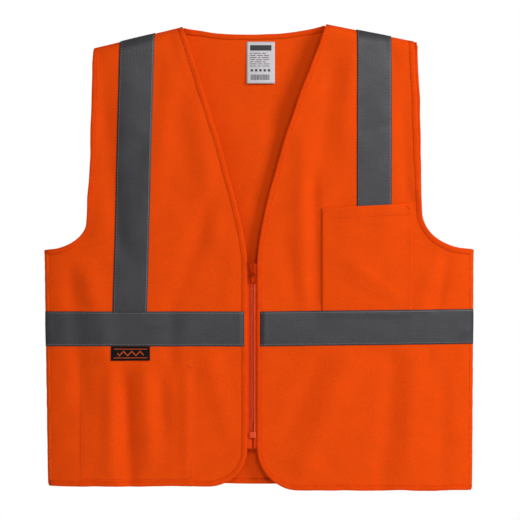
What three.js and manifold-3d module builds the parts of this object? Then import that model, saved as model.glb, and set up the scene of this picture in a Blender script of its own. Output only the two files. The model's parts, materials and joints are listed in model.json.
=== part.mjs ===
// A sleeveless high-visibility vest with a zip front, hanging closed and nearly flat.
// Millimetres. +Z is up, the front faces -Y, and +X is the wearer's left.
// The origin is between the two shoulders, at the height of the neck points, midway from front to back.
//
// The cloth follows one horizontal section: flat in the middle and rounded off to the side seams.
// Every piece is an outline in the XZ plane, cut out of a sheet at a fixed height over that section.
import * as THREE from 'three';
import { mergeVertices } from 'three/addons/utils/BufferGeometryUtils.js';
import Module from 'manifold-3d';

const wasm = await Module();
wasm.setup();

// ---------------------------------------------------------------- driving sizes

const halfWidth = 309; // centre to side seam, under the arms
const halfDepth = 12; // middle of the vest to the inside of the cloth
const flatHalf = 150; // the section is flat out to here
const roundness = 2.2; // exponent of the curve from there to the side seam
const gap = 0.4; // between pieces that touch

const bindingWidth = 8;
const seamWidth = 3; // side seam strip
const shoulderThick = 1.2; // shoulder seam strip
const neckDrop = 345; // shoulder to the foot of the V neck
const backNeck = { x: -6, z: -26 }; // handle of the back neck's curve
const hemLevel = -664; // back hem

const waistTop = -414; // upper edge of the waist tapes
const tapeWidth = 50; // reflective tape
const tapeEndGap = 3; // waist tape to the front edge binding

const zipX = -9; // the zip lies a little to the wearer's right
const zipAboveHem = 68; // back hem to the foot of the retainer box

// The wearer's right and left, in (u, z): u runs from the centre plane out to that side.
const right = {
  sign: -1,
  name: 'right',
  neck: [110, -4],
  neckCurve: [[-30, -94], [1, -281]], // the V edge's handles, from the neck point and the front edge
  shoulder: [239, -35],
  shoulderBack: 238,
  armBend: [3, -181], // outward drift and height where the armhole starts to turn
  armCurve: { inset: 60, rise: 40, foot: -325 },
  frontEdge: 8 - zipX, // centre plane to the front edge
  hem: hemLevel - 2,
  cornerRadius: 54,
  hemTaper: 5, // the side seam comes in by this much at the hem
  fold: 92, // the front folds open along this line
  tapeTop: 150, // inner edge of the shoulder tape at the shoulder
  tapeDrift: 11, // and how far out it has drifted at the waist
  tapeFoot: waistTop + gap,
  waistRise: 0,
};
const left = {
  sign: 1,
  name: 'left',
  neck: [97, 0],
  neckCurve: [[-35, -85], [2, -262]],
  shoulder: [224, -25],
  shoulderBack: 230,
  armBend: [5, -177],
  armCurve: { inset: 73, rise: 54, foot: -324 },
  frontEdge: 6 + zipX,
  hem: hemLevel - 8,
  cornerRadius: 62,
  hemTaper: 2,
  fold: 84,
  tapeTop: 141,
  tapeDrift: 0,
  tapeFoot: -289, // under the chest pocket
  waistRise: 3.5, // the waist tape climbs towards the side seam
};

// Heights over the inside of the cloth: [near, far]. Positive is outwards.
const layer = {
  panel: [0, 1],
  binding: [-0.5, 1.5],
  tape: [1.3, 1.9],
  label: [1.3, 1.9],
  careLabel: [-1.1, -0.7],
  chestPocket: [1.3, 7.6],
  chestPocketSpace: [2.2, 6.7],
  innerPocket: [-5.9, -0.4],
  innerPocketSpace: [-5.1, 0],
  zipTape: [-1.5, -0.9],
  coil: [-0.6, 1.4],
  pin: [-0.2, 1.4],
  box: [-0.6, 2.4],
  boxGroove: [-1, 1.7],
  stop: [-0.6, 1.6],
  sliderFront: [1.8, 2.9],
  sliderFlange: [0.2, 2],
  sliderRear: [-2.9, -1.8],
};

const pocketWall = 2; // sides and foot of a pocket
const chestPocket = { inner: 90, outer: 220, innerTop: -266, outerTop: -259 };
const innerPocket = { inner: 96, outer: 259, height: 168 };
const careLabel = { x: 2.5, width: 41, length: 61, top: -22.6 };
const wovenLabel = { inner: 157, width: 56, length: 20 };

const coil = { near: 0.7, root: 2, far: 3.5, pitch: 3.4, tooth: 1.7 };
const zipTapeEdge = 0.9; // middle line to the tape's inner edge, which the slider's post passes
const zipTapeWidth = 17; // and to its outer edge
const zipTapeTail = 16; // below the retainer box
const topStop = 3; // height
const sliderDrop = 12; // foot of the V neck to the slider
const sliderSize = {
  length: 16, headWidth: 10.8, footWidth: 8.8, waistShare: 0.45, corner: 2, post: 0.8, postLength: 5,
};
const retainerBox = { width: 9.4, height: 8.6, foot: 1 };
const insertionPin = { width: 2, above: 13 };
const bail = { hole: 1, wall: 0.9, width: 2, fromHead: 4, height: 4.1 };
const pullTab = {
  length: 21, nearWidth: 5.4, farWidth: 7.4, corner: 2, thick: 1, bar: 0.6, eye: 3.3, armInner: 1.5, lean: 8,
};

// ---------------------------------------------------------------- levels worked out from them

const zipFoot = hemLevel + zipAboveHem; // foot of the retainer box
const boxTop = zipFoot + retainerBox.height;
const sliderHead = -neckDrop - sliderDrop;
const coilTop = sliderHead + gap;
const bodyTop = 60; // well above the shoulders
const bodyFoot = hemLevel - 100; // well below the hem
const reach = 60; // a cutting prism runs this far past what it cuts
const past = 6; // and an open outline this far past the side seam

// ---------------------------------------------------------------- solids from outlines

function solidOf(geometry) {
  geometry.deleteAttribute('normal');
  geometry.deleteAttribute('uv');
  const merged = mergeVertices(geometry, 1e-4);
  const vertProperties = new Float32Array(merged.attributes.position.array);
  const triVerts = new Uint32Array(merged.index.array);
  return new wasm.Manifold(new wasm.Mesh({ numProp: 3, vertProperties, triVerts }));
}

function geometryOf(solid) {
  const mesh = solid.getMesh();
  const geometry = new THREE.BufferGeometry();
  geometry.setAttribute('position', new THREE.BufferAttribute(new Float32Array(mesh.vertProperties), 3));
  geometry.setIndex(new THREE.BufferAttribute(new Uint32Array(mesh.triVerts), 1));
  geometry.computeVertexNormals();
  return geometry;
}

const rect = (v0, v1, z0, z1) => [[v0, z0], [v1, z0], [v1, z1], [v0, z1]];

const shapeOf = (points) => new THREE.Shape(points.map(([x, y]) => new THREE.Vector2(x, y)));

/** An outline in XZ, extruded along Y between two depths. */
function prismY(outline, near = -reach, far = reach) {
  const geometry = new THREE.ExtrudeGeometry(shapeOf(outline), { depth: far - near, bevelEnabled: false });
  geometry.rotateX(Math.PI / 2);
  geometry.translate(0, far, 0);
  return solidOf(geometry);
}

/** An outline in XY, extruded along Z. */
function prismZ(outline, low = bodyFoot, high = bodyTop) {
  const geometry = new THREE.ExtrudeGeometry(shapeOf(outline), { depth: high - low, bevelEnabled: false });
  geometry.translate(0, 0, low);
  return solidOf(geometry);
}

function block(x0, x1, y0, y1, z0, z1) {
  const geometry = new THREE.BoxGeometry(x1 - x0, y1 - y0, z1 - z0);
  geometry.translate((x0 + x1) / 2, (y0 + y1) / 2, (z0 + z1) / 2);
  return solidOf(geometry);
}

/** The inside of the cloth: its distance from the middle of the vest at x. */
function section(x) {
  const u = (Math.abs(x) - flatHalf) / (halfWidth - flatHalf);
  if (u <= 0) return halfDepth;
  return halfDepth * Math.max(0, 1 - u ** roundness) ** (1 / roundness);
}

const roundSteps = [0, 0.25, 0.5, 0.7, 0.85, 0.95, 1].map((t) => flatHalf + t * (halfWidth - flatHalf));
const halfStations = [...roundSteps, halfWidth + past];
const stations = [...halfStations.map((x) => -x).reverse(), ...halfStations];

const front = -1;
const back = 1;

/** A sheet from one height over the cloth's inside to another, on the front or the back. */
function sheet(face, [near, far]) {
  const along = (height) => stations.map((x) => [x, face * (section(x) + height)]);
  return prismZ([...along(near), ...along(far).reverse()]);
}

/** All that lies between front and back, out to a height over the cloth's inside. */
function core(height) {
  const along = (face) => stations.map((x) => [x, face * (section(x) + height)]);
  return prismZ([...along(front), ...along(back).reverse()]);
}

// ---------------------------------------------------------------- outlines

const turnSteps = 8; // in a quarter circle
const quarterTurn = Array.from({ length: turnSteps + 1 }, (_, i) => (i / turnSteps) * (Math.PI / 2));

const place = (s, points) => points.map(([u, z]) => [s.sign * u, z]);

/** A line beside a path, at a distance to its left. */
function beside(points, distance) {
  return points.map((p, i) => {
    const before = points[Math.max(i - 1, 0)];
    const after = points[Math.min(i + 1, points.length - 1)];
    const into = new THREE.Vector2(p[0] - before[0], p[1] - before[1]).normalize();
    const out = new THREE.Vector2(after[0] - p[0], after[1] - p[1]).normalize();
    const along = into.clone().add(out).normalize();
    const straight = Math.max(into.length() && out.length() ? along.dot(into) : 1, 0.5);
    return [p[0] - (along.y * distance) / straight, p[1] + (along.x * distance) / straight];
  });
}

const strip = (path, from, to) => [...beside(path, from), ...beside(path, to).reverse()];

/** The V edge and the front edge of one side, from the neck point down to the rounded corner's end. */
function frontEdge(s) {
  const [[u1, z1], [u2, z2]] = s.neckCurve;
  const path = new THREE.Path();
  path.moveTo(...s.neck);
  const foot = s.frontEdge;
  path.bezierCurveTo(s.neck[0] + u1, s.neck[1] + z1, foot + u2, z2, foot, -neckDrop);
  const points = path.getPoints(14).map((p) => [p.x, p.y]);
  const r = s.cornerRadius;
  for (const turn of quarterTurn) {
    points.push([foot + r - r * Math.cos(turn), s.hem + r - r * Math.sin(turn)]);
  }
  return points;
}

const sideAt = (s, z) => {
  const down = (s.armCurve.foot - z) / (s.armCurve.foot - s.hem);
  return halfWidth - s.hemTaper * Math.min(Math.max(down, 0), 1);
};

/** The hem of one side, from the corner's end to the side seam. */
const frontHem = (s) => [[s.frontEdge + s.cornerRadius - 1, s.hem], [halfWidth + past, s.hem]];

/** The armhole of one side, from the side seam up to the shoulder. Its outer end is at u = shoulder. */
function armhole(s, shoulder) {
  const { inset, rise, foot } = s.armCurve;
  const [drift, bend] = s.armBend;
  const points = [[halfWidth + past, foot]];
  for (const turn of quarterTurn) {
    points.push([halfWidth - inset * Math.sin(turn), foot + rise - rise * Math.cos(turn)]);
  }
  points.push([shoulder + drift, bend], [shoulder, s.shoulder[1] + past], [shoulder, bodyTop]);
  return points;
}

const shoulderAt = (s, u) => {
  const [[u0, z0], [u1, z1]] = [s.neck, s.shoulder];
  return z0 + ((u - u0) * (z1 - z0)) / (u1 - u0);
};

/** Everything below a side's shoulder line, by a drop, between the centre and well past the side. */
function belowShoulder(s, drop) {
  const [inner, out] = [s.neck[0] - reach / 2, halfWidth + reach];
  return prismY(place(s, [
    [-reach, bodyTop],
    [inner, shoulderAt(s, inner) - drop],
    [out, shoulderAt(s, out) - drop],
    [out, bodyFoot],
    [-reach, bodyFoot],
  ]));
}

/** Everything that an armhole takes out of the cloth. */
const armSpace = (s, shoulder) => {
  const out = halfWidth + reach;
  return prismY(place(s, [...armhole(s, shoulder), [out, bodyTop], [out, s.armCurve.foot]]));
};

/** The side seam's line, from the hem up past the armhole. */
const sideSeam = (s) => [
  [sideAt(s, s.hem), s.hem],
  [halfWidth, s.armCurve.foot],
  [halfWidth, s.armCurve.foot + past],
];

/** Everything outside the side seam and in to a width. */
const besideSeam = (s, width) => prismY(place(s, strip(sideSeam(s), -2 * past, width)));

// ---------------------------------------------------------------- the model

const vest = new THREE.Group();

const finish = (color, roughness, metalness = 0) =>
  new THREE.MeshStandardMaterial({ color, roughness, metalness, flatShading: true });
const look = {
  knit: finish(0xe8480c, 0.9),
  binding: finish(0xd83f08, 0.85),
  tape: finish(0x5f5f62, 0.45),
  woven: finish(0x18181a, 0.8),
  satin: finish(0xc9c5c8, 0.5),
  zipTape: finish(0xe2440c, 0.85),
  coil: finish(0xe0502c, 0.4),
  slider: finish(0xc02c06, 0.35, 0.2),
};

function add(name, solid, material) {
  const mesh = new THREE.Mesh(geometryOf(solid), material.clone());
  mesh.name = name;
  vest.add(mesh);
}

/** One half of a solid, cut a gap away from a side's fold line. */
function cutAtFold(s, solid, part) {
  const edge = s.fold + (part === 'side' ? gap : -gap);
  const far = part === 'side' ? halfWidth + reach : -reach;
  const [x0, x1] = [s.sign * edge, s.sign * far].sort((a, b) => a - b);
  return solid.intersect(block(x0, x1, -reach, reach, bodyFoot, bodyTop));
}

/** Shoulder seam, fronts, bindings, seams and tapes of one side. */
function addSide(s) {
  const top = belowShoulder(s, shoulderThick + gap);
  const edge = frontEdge(s);
  const hem = frontHem(s);
  const arm = armhole(s, s.shoulder[0]);
  const whole = prismY(place(s, [...edge, hem[1], [halfWidth + past, bodyTop], [s.neck[0], bodyTop]]));
  const noSeam = besideSeam(s, seamWidth + gap);

  // bindings are strips along the edges, and the panel is what they leave
  const body = whole.intersect(top).subtract(armSpace(s, s.shoulder[0]));
  const edgeStrip = (width) => prismY(place(s, strip(edge, -1, width)));
  const hemStrip = (width) => prismY(place(s, strip(hem, -1, width)));
  const armStrip = (width) => prismY(place(s, strip(arm, -1, width)));
  const clear = bindingWidth + gap;
  const panel = body
    .subtract(edgeStrip(clear))
    .subtract(hemStrip(clear))
    .subtract(armStrip(clear))
    .subtract(noSeam)
    .intersect(sheet(front, layer.panel));
  const rim = body.subtract(noSeam).intersect(sheet(front, layer.binding));
  const edgeBinding = rim.intersect(edgeStrip(bindingWidth));
  const hemBinding = rim.intersect(hemStrip(bindingWidth)).subtract(edgeStrip(clear));
  const armBinding = rim.intersect(armStrip(bindingWidth)).subtract(edgeStrip(clear));

  add(`${s.name}_front_panel`, cutAtFold(s, panel, 'side'), look.knit);
  add(`${s.name}_front_edge_panel`, cutAtFold(s, panel, 'edge'), look.knit);
  // past the fold line the edge binding is only there above the chest, out to the neck point
  const chestUp = block(-halfWidth, halfWidth, -reach, reach, -neckDrop, bodyTop);
  add(`${s.name}_neck_binding`, cutAtFold(s, edgeBinding, 'side').intersect(chestUp), look.binding);
  add(`${s.name}_front_edge_binding`, cutAtFold(s, edgeBinding, 'edge'), look.binding);
  add(`${s.name}_hem_binding_side`, cutAtFold(s, hemBinding, 'side'), look.binding);
  add(`${s.name}_hem_binding_edge`, cutAtFold(s, hemBinding, 'edge'), look.binding);
  add(`${s.name}_armhole_binding_front`, armBinding, look.binding);

  // the side seam joins front and back
  const seam = prismY(place(s, strip(sideSeam(s).slice(0, 2), 0, seamWidth))).intersect(core(layer.panel[1]));
  add(`${s.name}_side_seam`, seam, look.knit);

  // the shoulder seam strip spans from front to back
  const shoulderBand = (under, over) => {
    const line = (rise) => [s.neck[0], s.shoulder[0]].map((u) => [u, shoulderAt(s, u) + rise]);
    return prismY(place(s, [...line(over), ...line(-under).reverse()]));
  };
  add(`${s.name}_shoulder_seam`, shoulderBand(shoulderThick, 0).intersect(core(layer.panel[1])), look.knit);

  // the shoulder tape is one strip: up the front, over the seam and down the back
  const [near, far] = layer.tape;
  const tapeStrip = (foot) => {
    const drift = (z) => (s.tapeDrift * z) / waistTop;
    const inner = (z) => s.tapeTop + drift(z);
    return prismY(place(s, [
      [inner(bodyTop), bodyTop],
      [inner(bodyTop) + tapeWidth, bodyTop],
      [inner(foot) + tapeWidth, foot],
      [inner(foot), foot],
    ]));
  };
  const underCap = belowShoulder(s, -far);
  const cap = shoulderBand(-gap, far).intersect(core(far)).intersect(tapeStrip(-neckDrop));
  const frontLeg = sheet(front, [near, far]).intersect(tapeStrip(s.tapeFoot)).intersect(underCap);
  const backFoot = waistTop + left.waistRise + gap;
  const backLeg = sheet(back, [near, far]).intersect(tapeStrip(backFoot)).intersect(underCap);
  add(`${s.name}_shoulder_tape`, cap.add(frontLeg).add(backLeg), look.tape);

  // the waist tape of the front
  const inner = s.frontEdge + bindingWidth + tapeEndGap;
  const outer = halfWidth - seamWidth - gap;
  const waist = prismY(place(s, [
    [inner, waistTop],
    [outer, waistTop + s.waistRise],
    [outer, waistTop + s.waistRise - tapeWidth],
    [inner, waistTop - tapeWidth],
  ])).intersect(sheet(front, layer.tape)).subtract(noSeam);
  add(`${s.name}_waist_tape_side`, cutAtFold(s, waist, 'side'), look.tape);
  add(`${s.name}_waist_tape_edge`, cutAtFold(s, waist, 'edge'), look.tape);
}

/** A strip across the back, in three pieces: its flat middle, and a piece that turns round to each side. */
function addAcrossBack(name, solid, material) {
  const flat = flatHalf - gap / 2;
  add(`back_${name}`, solid.intersect(block(-flat, flat, -reach, reach, bodyFoot, bodyTop)), material);
  for (const s of [right, left]) {
    const [x0, x1] = [s.sign * (flat + gap), s.sign * (halfWidth + reach)].sort((a, b) => a - b);
    add(`${s.name}_${name}_back`, solid.intersect(block(x0, x1, -reach, reach, bodyFoot, bodyTop)), material);
  }
}

function addBack() {
  const neckLine = new THREE.QuadraticBezierCurve(
    new THREE.Vector2(-right.neck[0], right.neck[1] - 1),
    new THREE.Vector2(backNeck.x, backNeck.z),
    new THREE.Vector2(left.neck[0], left.neck[1] - 1),
  ).getPoints(10).map((p) => [p.x, p.y]);
  const wide = halfWidth + past;
  const hemLine = [[wide, hemLevel], [-wide, hemLevel]];
  let whole = prismY([[-wide, bodyTop], [-wide, hemLevel], [wide, hemLevel], [wide, bodyTop]]);
  const neckHole = [...neckLine, [left.neck[0], bodyTop + past], [-right.neck[0], bodyTop + past]];
  whole = whole.subtract(prismY(neckHole));
  // the two shoulder lines cut the top, and their halves meet under the neck
  const halves = [right, left].map((s) => {
    const [x0, x1] = [0, s.sign * (wide + reach)].sort((a, b) => a - b);
    const half = block(x0, x1, -reach, reach, bodyFoot, bodyTop);
    return half.intersect(belowShoulder(s, shoulderThick + gap));
  });
  whole = whole.intersect(halves[0].add(halves[1]));

  const clear = bindingWidth + gap;
  let panel = whole.intersect(sheet(back, layer.panel));
  let rim = whole.intersect(sheet(back, layer.binding));
  const arms = {};
  for (const s of [right, left]) {
    const arm = armhole(s, s.shoulderBack);
    const noSeam = besideSeam(s, seamWidth + gap);
    const cut = armSpace(s, s.shoulderBack);
    panel = panel.subtract(cut).subtract(prismY(place(s, strip(arm, -1, clear)))).subtract(noSeam);
    rim = rim.subtract(cut).subtract(noSeam);
    arms[s.name] = prismY(place(s, strip(arm, -1, bindingWidth)));
  }
  // the neck line runs from right to left, so the cloth is to its right
  const neckStrip = (width) => prismY(strip(neckLine, 1, -width));
  const hemStrip = (width) => prismY([...hemLine, [-wide, hemLevel + width], [wide, hemLevel + width]]);
  panel = panel.subtract(neckStrip(clear)).subtract(hemStrip(clear));
  add('back_panel', panel, look.knit);
  add('back_neck_binding', rim.intersect(neckStrip(bindingWidth)), look.binding);
  addAcrossBack('hem_binding', rim.intersect(hemStrip(bindingWidth)), look.binding);
  for (const s of [right, left]) {
    const binding = rim.intersect(arms[s.name]).subtract(neckStrip(clear));
    add(`${s.name}_armhole_binding_back`, binding, look.binding);
  }

  const outer = halfWidth - seamWidth - gap - left.hemTaper;
  const waist = prismY([
    [-outer, waistTop],
    [outer, waistTop + left.waistRise],
    [outer, waistTop + left.waistRise - tapeWidth],
    [-outer, waistTop - tapeWidth],
  ]);
  addAcrossBack('waist_tape', waist.intersect(sheet(back, layer.tape)), look.tape);
}

/** Pockets are shallow pouches: closed at the sides and foot, open at the top. */
function addPockets() {
  const p = chestPocket;
  const foot = waistTop + left.waistRise + gap;
  const outline = [[p.inner, foot], [p.outer, foot], [p.outer, p.outerTop], [p.inner, p.innerTop]];
  const wall = pocketWall;
  const space = rect(p.inner + wall, p.outer - wall, foot + wall, 0);
  const mouth = prismY(outline).intersect(sheet(front, layer.chestPocket));
  const hollow = prismY(space).intersect(sheet(front, [0, layer.chestPocketSpace[1]]));
  add('chest_pocket', mouth.subtract(hollow), look.knit);

  const q = innerPocket;
  const low = right.hem + bindingWidth + gap;
  const high = low + q.height;
  const x = [-q.outer, -q.inner];
  const pouch = block(x[0], x[1], -reach, 0, low, high).intersect(sheet(front, layer.innerPocket));
  const room = block(x[0] + wall, x[1] - wall, -reach, 0, low + wall, high + past);
  add('inner_pocket', pouch.subtract(room.intersect(sheet(front, layer.innerPocketSpace))), look.knit);
}

function addLabels() {
  const c = careLabel;
  const care = block(c.x - c.width / 2, c.x + c.width / 2, 0, reach, c.top - c.length, c.top);
  add('care_label', care.intersect(sheet(back, layer.careLabel)), look.satin);
  const w = wovenLabel;
  const top = waistTop - tapeWidth - gap;
  const woven = block(-w.inner - w.width, -w.inner, -reach, 0, top - w.length, top);
  add('woven_label', woven.intersect(sheet(front, layer.label)), look.woven);
}

// ---------------------------------------------------------------- the zip, on the flat middle of the front

const depthAt = (height) => -(halfDepth + height);

/** A solid with an outline in (v, z) and two heights, v being the distance from the zip's middle line. */
const onZip = (sign, outline, [near, far]) =>
  prismY(outline.map(([v, z]) => [zipX + sign * v, z]), depthAt(far), depthAt(near));

/** The toothed coil of one side: a spine with teeth towards the middle. */
function coilOutline(low, high, shift) {
  const { near, root, far, pitch, tooth } = coil;
  const points = [[far, low], [root, low]];
  for (let z = low + shift; z + tooth <= high; z += pitch) {
    points.push([root, z], [near, z], [near, z + tooth], [root, z + tooth]);
  }
  points.push([root, high], [far, high]);
  return points.filter((p, i) => i === 0 || p[0] !== points[i - 1][0] || p[1] !== points[i - 1][1]);
}

function addZip() {
  const tape = rect(zipTapeEdge, zipTapeWidth, zipFoot - zipTapeTail, -neckDrop);
  const pinTop = boxTop + insertionPin.above;
  const coilFoot = { [right.name]: boxTop + gap, [left.name]: pinTop + gap };
  for (const s of [right, left]) {
    add(`${s.name}_zip_tape`, onZip(s.sign, tape, layer.zipTape), look.zipTape);
    const shift = s === right ? gap : gap + coil.pitch / 2;
    const outline = coilOutline(coilFoot[s.name], coilTop, shift);
    add(`${s.name}_zip_coil`, onZip(s.sign, outline, layer.coil), look.coil);
    const stop = rect(coil.near, coil.far, coilTop + gap, coilTop + gap + topStop);
    add(`${s.name}_top_stop`, onZip(s.sign, stop, layer.stop), look.slider);
  }
  const half = retainerBox.width / 2;
  const groove = { low: coil.near + gap, high: coil.near + insertionPin.width + 3 * gap };
  const box = onZip(1, rect(-half, half, zipFoot, boxTop), layer.box);
  const grooveOutline = rect(groove.low, groove.high, zipFoot + retainerBox.foot, boxTop + 1);
  const slot = onZip(1, grooveOutline, layer.boxGroove);
  add('retainer_box', box.subtract(slot), look.coil);
  const pin = rect(groove.low + gap, groove.high - gap, zipFoot + retainerBox.foot + gap, pinTop);
  add('insertion_pin', onZip(1, pin, layer.pin), look.coil);
}

function addSlider() {
  const { length, headWidth, footWidth, waistShare, corner, post, postLength } = sliderSize;
  const head = sliderHead - gap;
  const foot = head - length;
  const waist = foot + length * waistShare;
  const outline = [
    [-footWidth / 2, foot], [footWidth / 2, foot], [headWidth / 2, waist],
    [headWidth / 2, head - corner], [headWidth / 2 - corner, head], [-headWidth / 2 + corner, head],
    [-headWidth / 2, head - corner], [-headWidth / 2, waist],
  ];
  const channel = onZip(1, rect(-coil.far - gap, coil.far + gap, foot - 1, head + 1), layer.sliderFlange);
  const frontPlate = onZip(1, outline, layer.sliderFront);
  const flanges = onZip(1, outline, layer.sliderFlange).subtract(channel);
  const rearPlate = onZip(1, outline, layer.sliderRear);
  const postSpan = [layer.sliderRear[1], layer.sliderFront[0]].map((height, i) => height + (i ? gap : -gap));
  const postSolid = onZip(1, rect(-post / 2, post / 2, head - postLength, head - 1), postSpan);

  // the bail is an arch over the front plate, and the tab's bar turns in it
  const middle = head - bail.fromHead;
  const outer = bail.hole + bail.wall;
  const archFoot = layer.sliderFront[1] - gap; // sunk into the plate
  const arch = new THREE.Shape();
  arch.moveTo(middle - outer, archFoot);
  arch.lineTo(middle - outer, bail.height);
  arch.absarc(middle, bail.height, outer, Math.PI, 0, true);
  arch.lineTo(middle + outer, archFoot);
  const hole = new THREE.Path();
  hole.absarc(middle, bail.height, bail.hole, 0, Math.PI * 2);
  arch.holes.push(hole);
  const extrusion = { depth: bail.width, bevelEnabled: false, curveSegments: 6 };
  const geometry = new THREE.ExtrudeGeometry(arch, extrusion);
  // the arch is drawn in (z, height) and extruded along x
  const turned = new THREE.Matrix4().makeBasis(
    new THREE.Vector3(0, 0, 1),
    new THREE.Vector3(0, -1, 0),
    new THREE.Vector3(1, 0, 0),
  );
  geometry.applyMatrix4(turned);
  geometry.translate(zipX - bail.width / 2, -halfDepth, 0);
  const slider = frontPlate.add(flanges).add(rearPlate).add(postSolid).add(solidOf(geometry));
  add('zip_slider', slider, look.slider);

  // the pull tab is turned up, and leans a little to the wearer's right
  const t = pullTab;
  const [near, far] = [t.nearWidth / 2, t.farWidth / 2];
  const plateOutline = [
    [-near, t.eye], [near, t.eye], [far, t.length - t.corner],
    [far - t.corner, t.length], [-far + t.corner, t.length], [-far, t.length - t.corner],
  ];
  const plate = prismY(plateOutline, -t.thick / 2, t.thick / 2);
  const arms = [-1, 1].map((side) => {
    const [x0, x1] = [side * t.armInner, side * near].sort((a, b) => a - b);
    return block(x0, x1, -t.thick / 2, t.thick / 2, -t.bar, t.eye + gap);
  });
  const bar = new THREE.CylinderGeometry(t.bar, t.bar, t.nearWidth - gap, 10);
  bar.rotateZ(Math.PI / 2);
  const tab = plate.add(arms[0]).add(arms[1]).add(solidOf(bar));
  const mesh = new THREE.Mesh(geometryOf(tab), look.slider);
  mesh.name = 'pull_tab';
  mesh.position.set(zipX, depthAt(bail.height), middle);
  mesh.rotation.y = THREE.MathUtils.degToRad(-t.lean);
  vest.add(mesh);
}

addSide(right);
addSide(left);
addBack();
addPockets();
addLabels();
addZip();
addSlider();

export default vest;
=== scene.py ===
"""A blaze orange safety vest: knit cloth, folded bindings, reflective tapes, pockets, labels and zip.

The looks of the vest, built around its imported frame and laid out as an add-on.
Sizes are in millimetres in the code, and in metres in the panel's properties and in the finished meshes.
+Z is towards the neck, the front faces -Y, and +X is the wearer's left.
"""
import json
import math
from dataclasses import dataclass

import bmesh
import bpy
from mathutils import Matrix, Vector, noise


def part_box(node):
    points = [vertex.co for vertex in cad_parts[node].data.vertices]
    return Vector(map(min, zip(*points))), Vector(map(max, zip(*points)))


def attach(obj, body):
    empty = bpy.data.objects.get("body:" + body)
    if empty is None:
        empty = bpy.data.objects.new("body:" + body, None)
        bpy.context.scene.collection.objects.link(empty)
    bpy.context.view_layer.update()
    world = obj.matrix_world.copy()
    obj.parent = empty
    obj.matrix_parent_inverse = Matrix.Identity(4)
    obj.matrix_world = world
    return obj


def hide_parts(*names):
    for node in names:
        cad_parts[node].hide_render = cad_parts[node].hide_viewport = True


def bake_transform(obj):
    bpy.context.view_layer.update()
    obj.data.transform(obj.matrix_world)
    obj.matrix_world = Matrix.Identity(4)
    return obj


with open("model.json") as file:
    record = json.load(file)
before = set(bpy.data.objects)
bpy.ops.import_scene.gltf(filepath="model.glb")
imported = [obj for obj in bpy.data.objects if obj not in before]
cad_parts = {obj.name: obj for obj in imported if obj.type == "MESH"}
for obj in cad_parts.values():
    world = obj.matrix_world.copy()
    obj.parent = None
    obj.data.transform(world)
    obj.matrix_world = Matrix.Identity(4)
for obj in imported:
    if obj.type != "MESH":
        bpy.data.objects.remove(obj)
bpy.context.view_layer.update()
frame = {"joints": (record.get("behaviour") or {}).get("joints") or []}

bl_info = {
    "name": "Safety Vest",
    "version": (1, 0, 0),
    "blender": (4, 5, 0),
    "location": "3D View > Sidebar > Vest",
    "description": "Finishes a blaze orange safety vest around its frame",
    "category": "Object",
}

MM = 0.001
FRONT, BACK = -1, 1


# ---------------------------------------------------------------- sizes and colours

def linear(hex_colour):
    """An sRGB hex colour as the linear red, green, blue and alpha that shaders take."""
    channels = [int(hex_colour[i:i + 2], 16) / 255 for i in (1, 3, 5)]
    return [c / 12.92 if c <= 0.04045 else ((c + 0.055) / 1.055) ** 2.4 for c in channels] + [1.0]


def length(name, description, millimetres):
    return bpy.props.FloatProperty(
        name=name, description=description, default=millimetres * MM, min=0, unit="LENGTH", precision=5)


def colour(name, description, hex_colour):
    return bpy.props.FloatVectorProperty(
        name=name, description=description, default=linear(hex_colour), size=4, min=0, max=1, subtype="COLOR")


class VestSizes(bpy.types.PropertyGroup):
    """Sizes of the cloth and its sewing."""
    cloth: length("Cloth", "Thickness of the knit cloth", 0.7)
    binding_cloth: length("Binding cloth", "Thickness of the binding strip", 0.5)
    binding: length("Binding", "Width of the folded binding", 8)
    tape_cloth: length("Tape cloth", "Thickness of the reflective tape", 0.5)
    stitch: length("Stitch", "Length of one stitch", 3)
    stitch_gap: length("Stitch gap", "Cloth showing between two stitches", 1.2)
    thread: length("Thread", "Width of the sewing thread", 0.7)
    tooth_pitch: length("Tooth pitch", "From one zip tooth to the next on the same side", 1.8)
    sway: length("Sway", "Height of the cloth's broad unevenness", 2.6)
    pucker: length("Pucker", "Height of the ripples along a seam", 0.5)


class VestColours(bpy.types.PropertyGroup):
    """Colours of the vest's finishes."""
    knit: colour("Knit", "Fluorescent orange polyester knit", "#EE4C05")
    binding: colour("Binding", "Orange binding strip", "#EC4804")
    tape: colour("Reflective tape", "Silver-grey glass-bead tape", "#434347")
    grey_thread: colour("Grey thread", "Thread along the tapes", "#90908E")
    orange_thread: colour("Orange thread", "Thread along bindings and pockets", "#D03A04")
    zip_tape: colour("Zip tape", "Woven tape of the zip", "#E84404")
    coil: colour("Zip coil", "Moulded teeth, box and pin", "#EC5226")
    enamel: colour("Enamel", "Slider, pull tab and top stops", "#AE2E06")
    care: colour("Care label", "White satin ribbon, greyed", "#CBC7CB")
    print: colour("Print", "Printed marks on the care label", "#2C2B2E")
    woven: colour("Woven label", "Black woven label", "#0A0A0B")
    motif: colour("Motif", "Thread of the woven label's pattern", "#B4441C")


# ---------------------------------------------------------------- the vest's own shape

HALF_DEPTH = 12  # middle of the vest to the inside of the cloth
FLAT_HALF = 150  # the cloth is flat out to here, and rounds off to the side seam
ROUNDNESS = 2.2
HALF_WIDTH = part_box("right_side_seam")[0].x / -MM
NECK_FOOT = -345  # where the V neck reaches the front edge
ARCH = 15  # the cloth rolls over the shoulder within this drop
ZIP_X = -9
BACK_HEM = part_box("back_hem_binding")[0].z / MM
BACK_NECK = (-5, -22)  # handle of the back neck's curve
QUARTER = [i / 24 * math.pi / 2 for i in range(25)]  # the turns of a rounded corner


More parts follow.
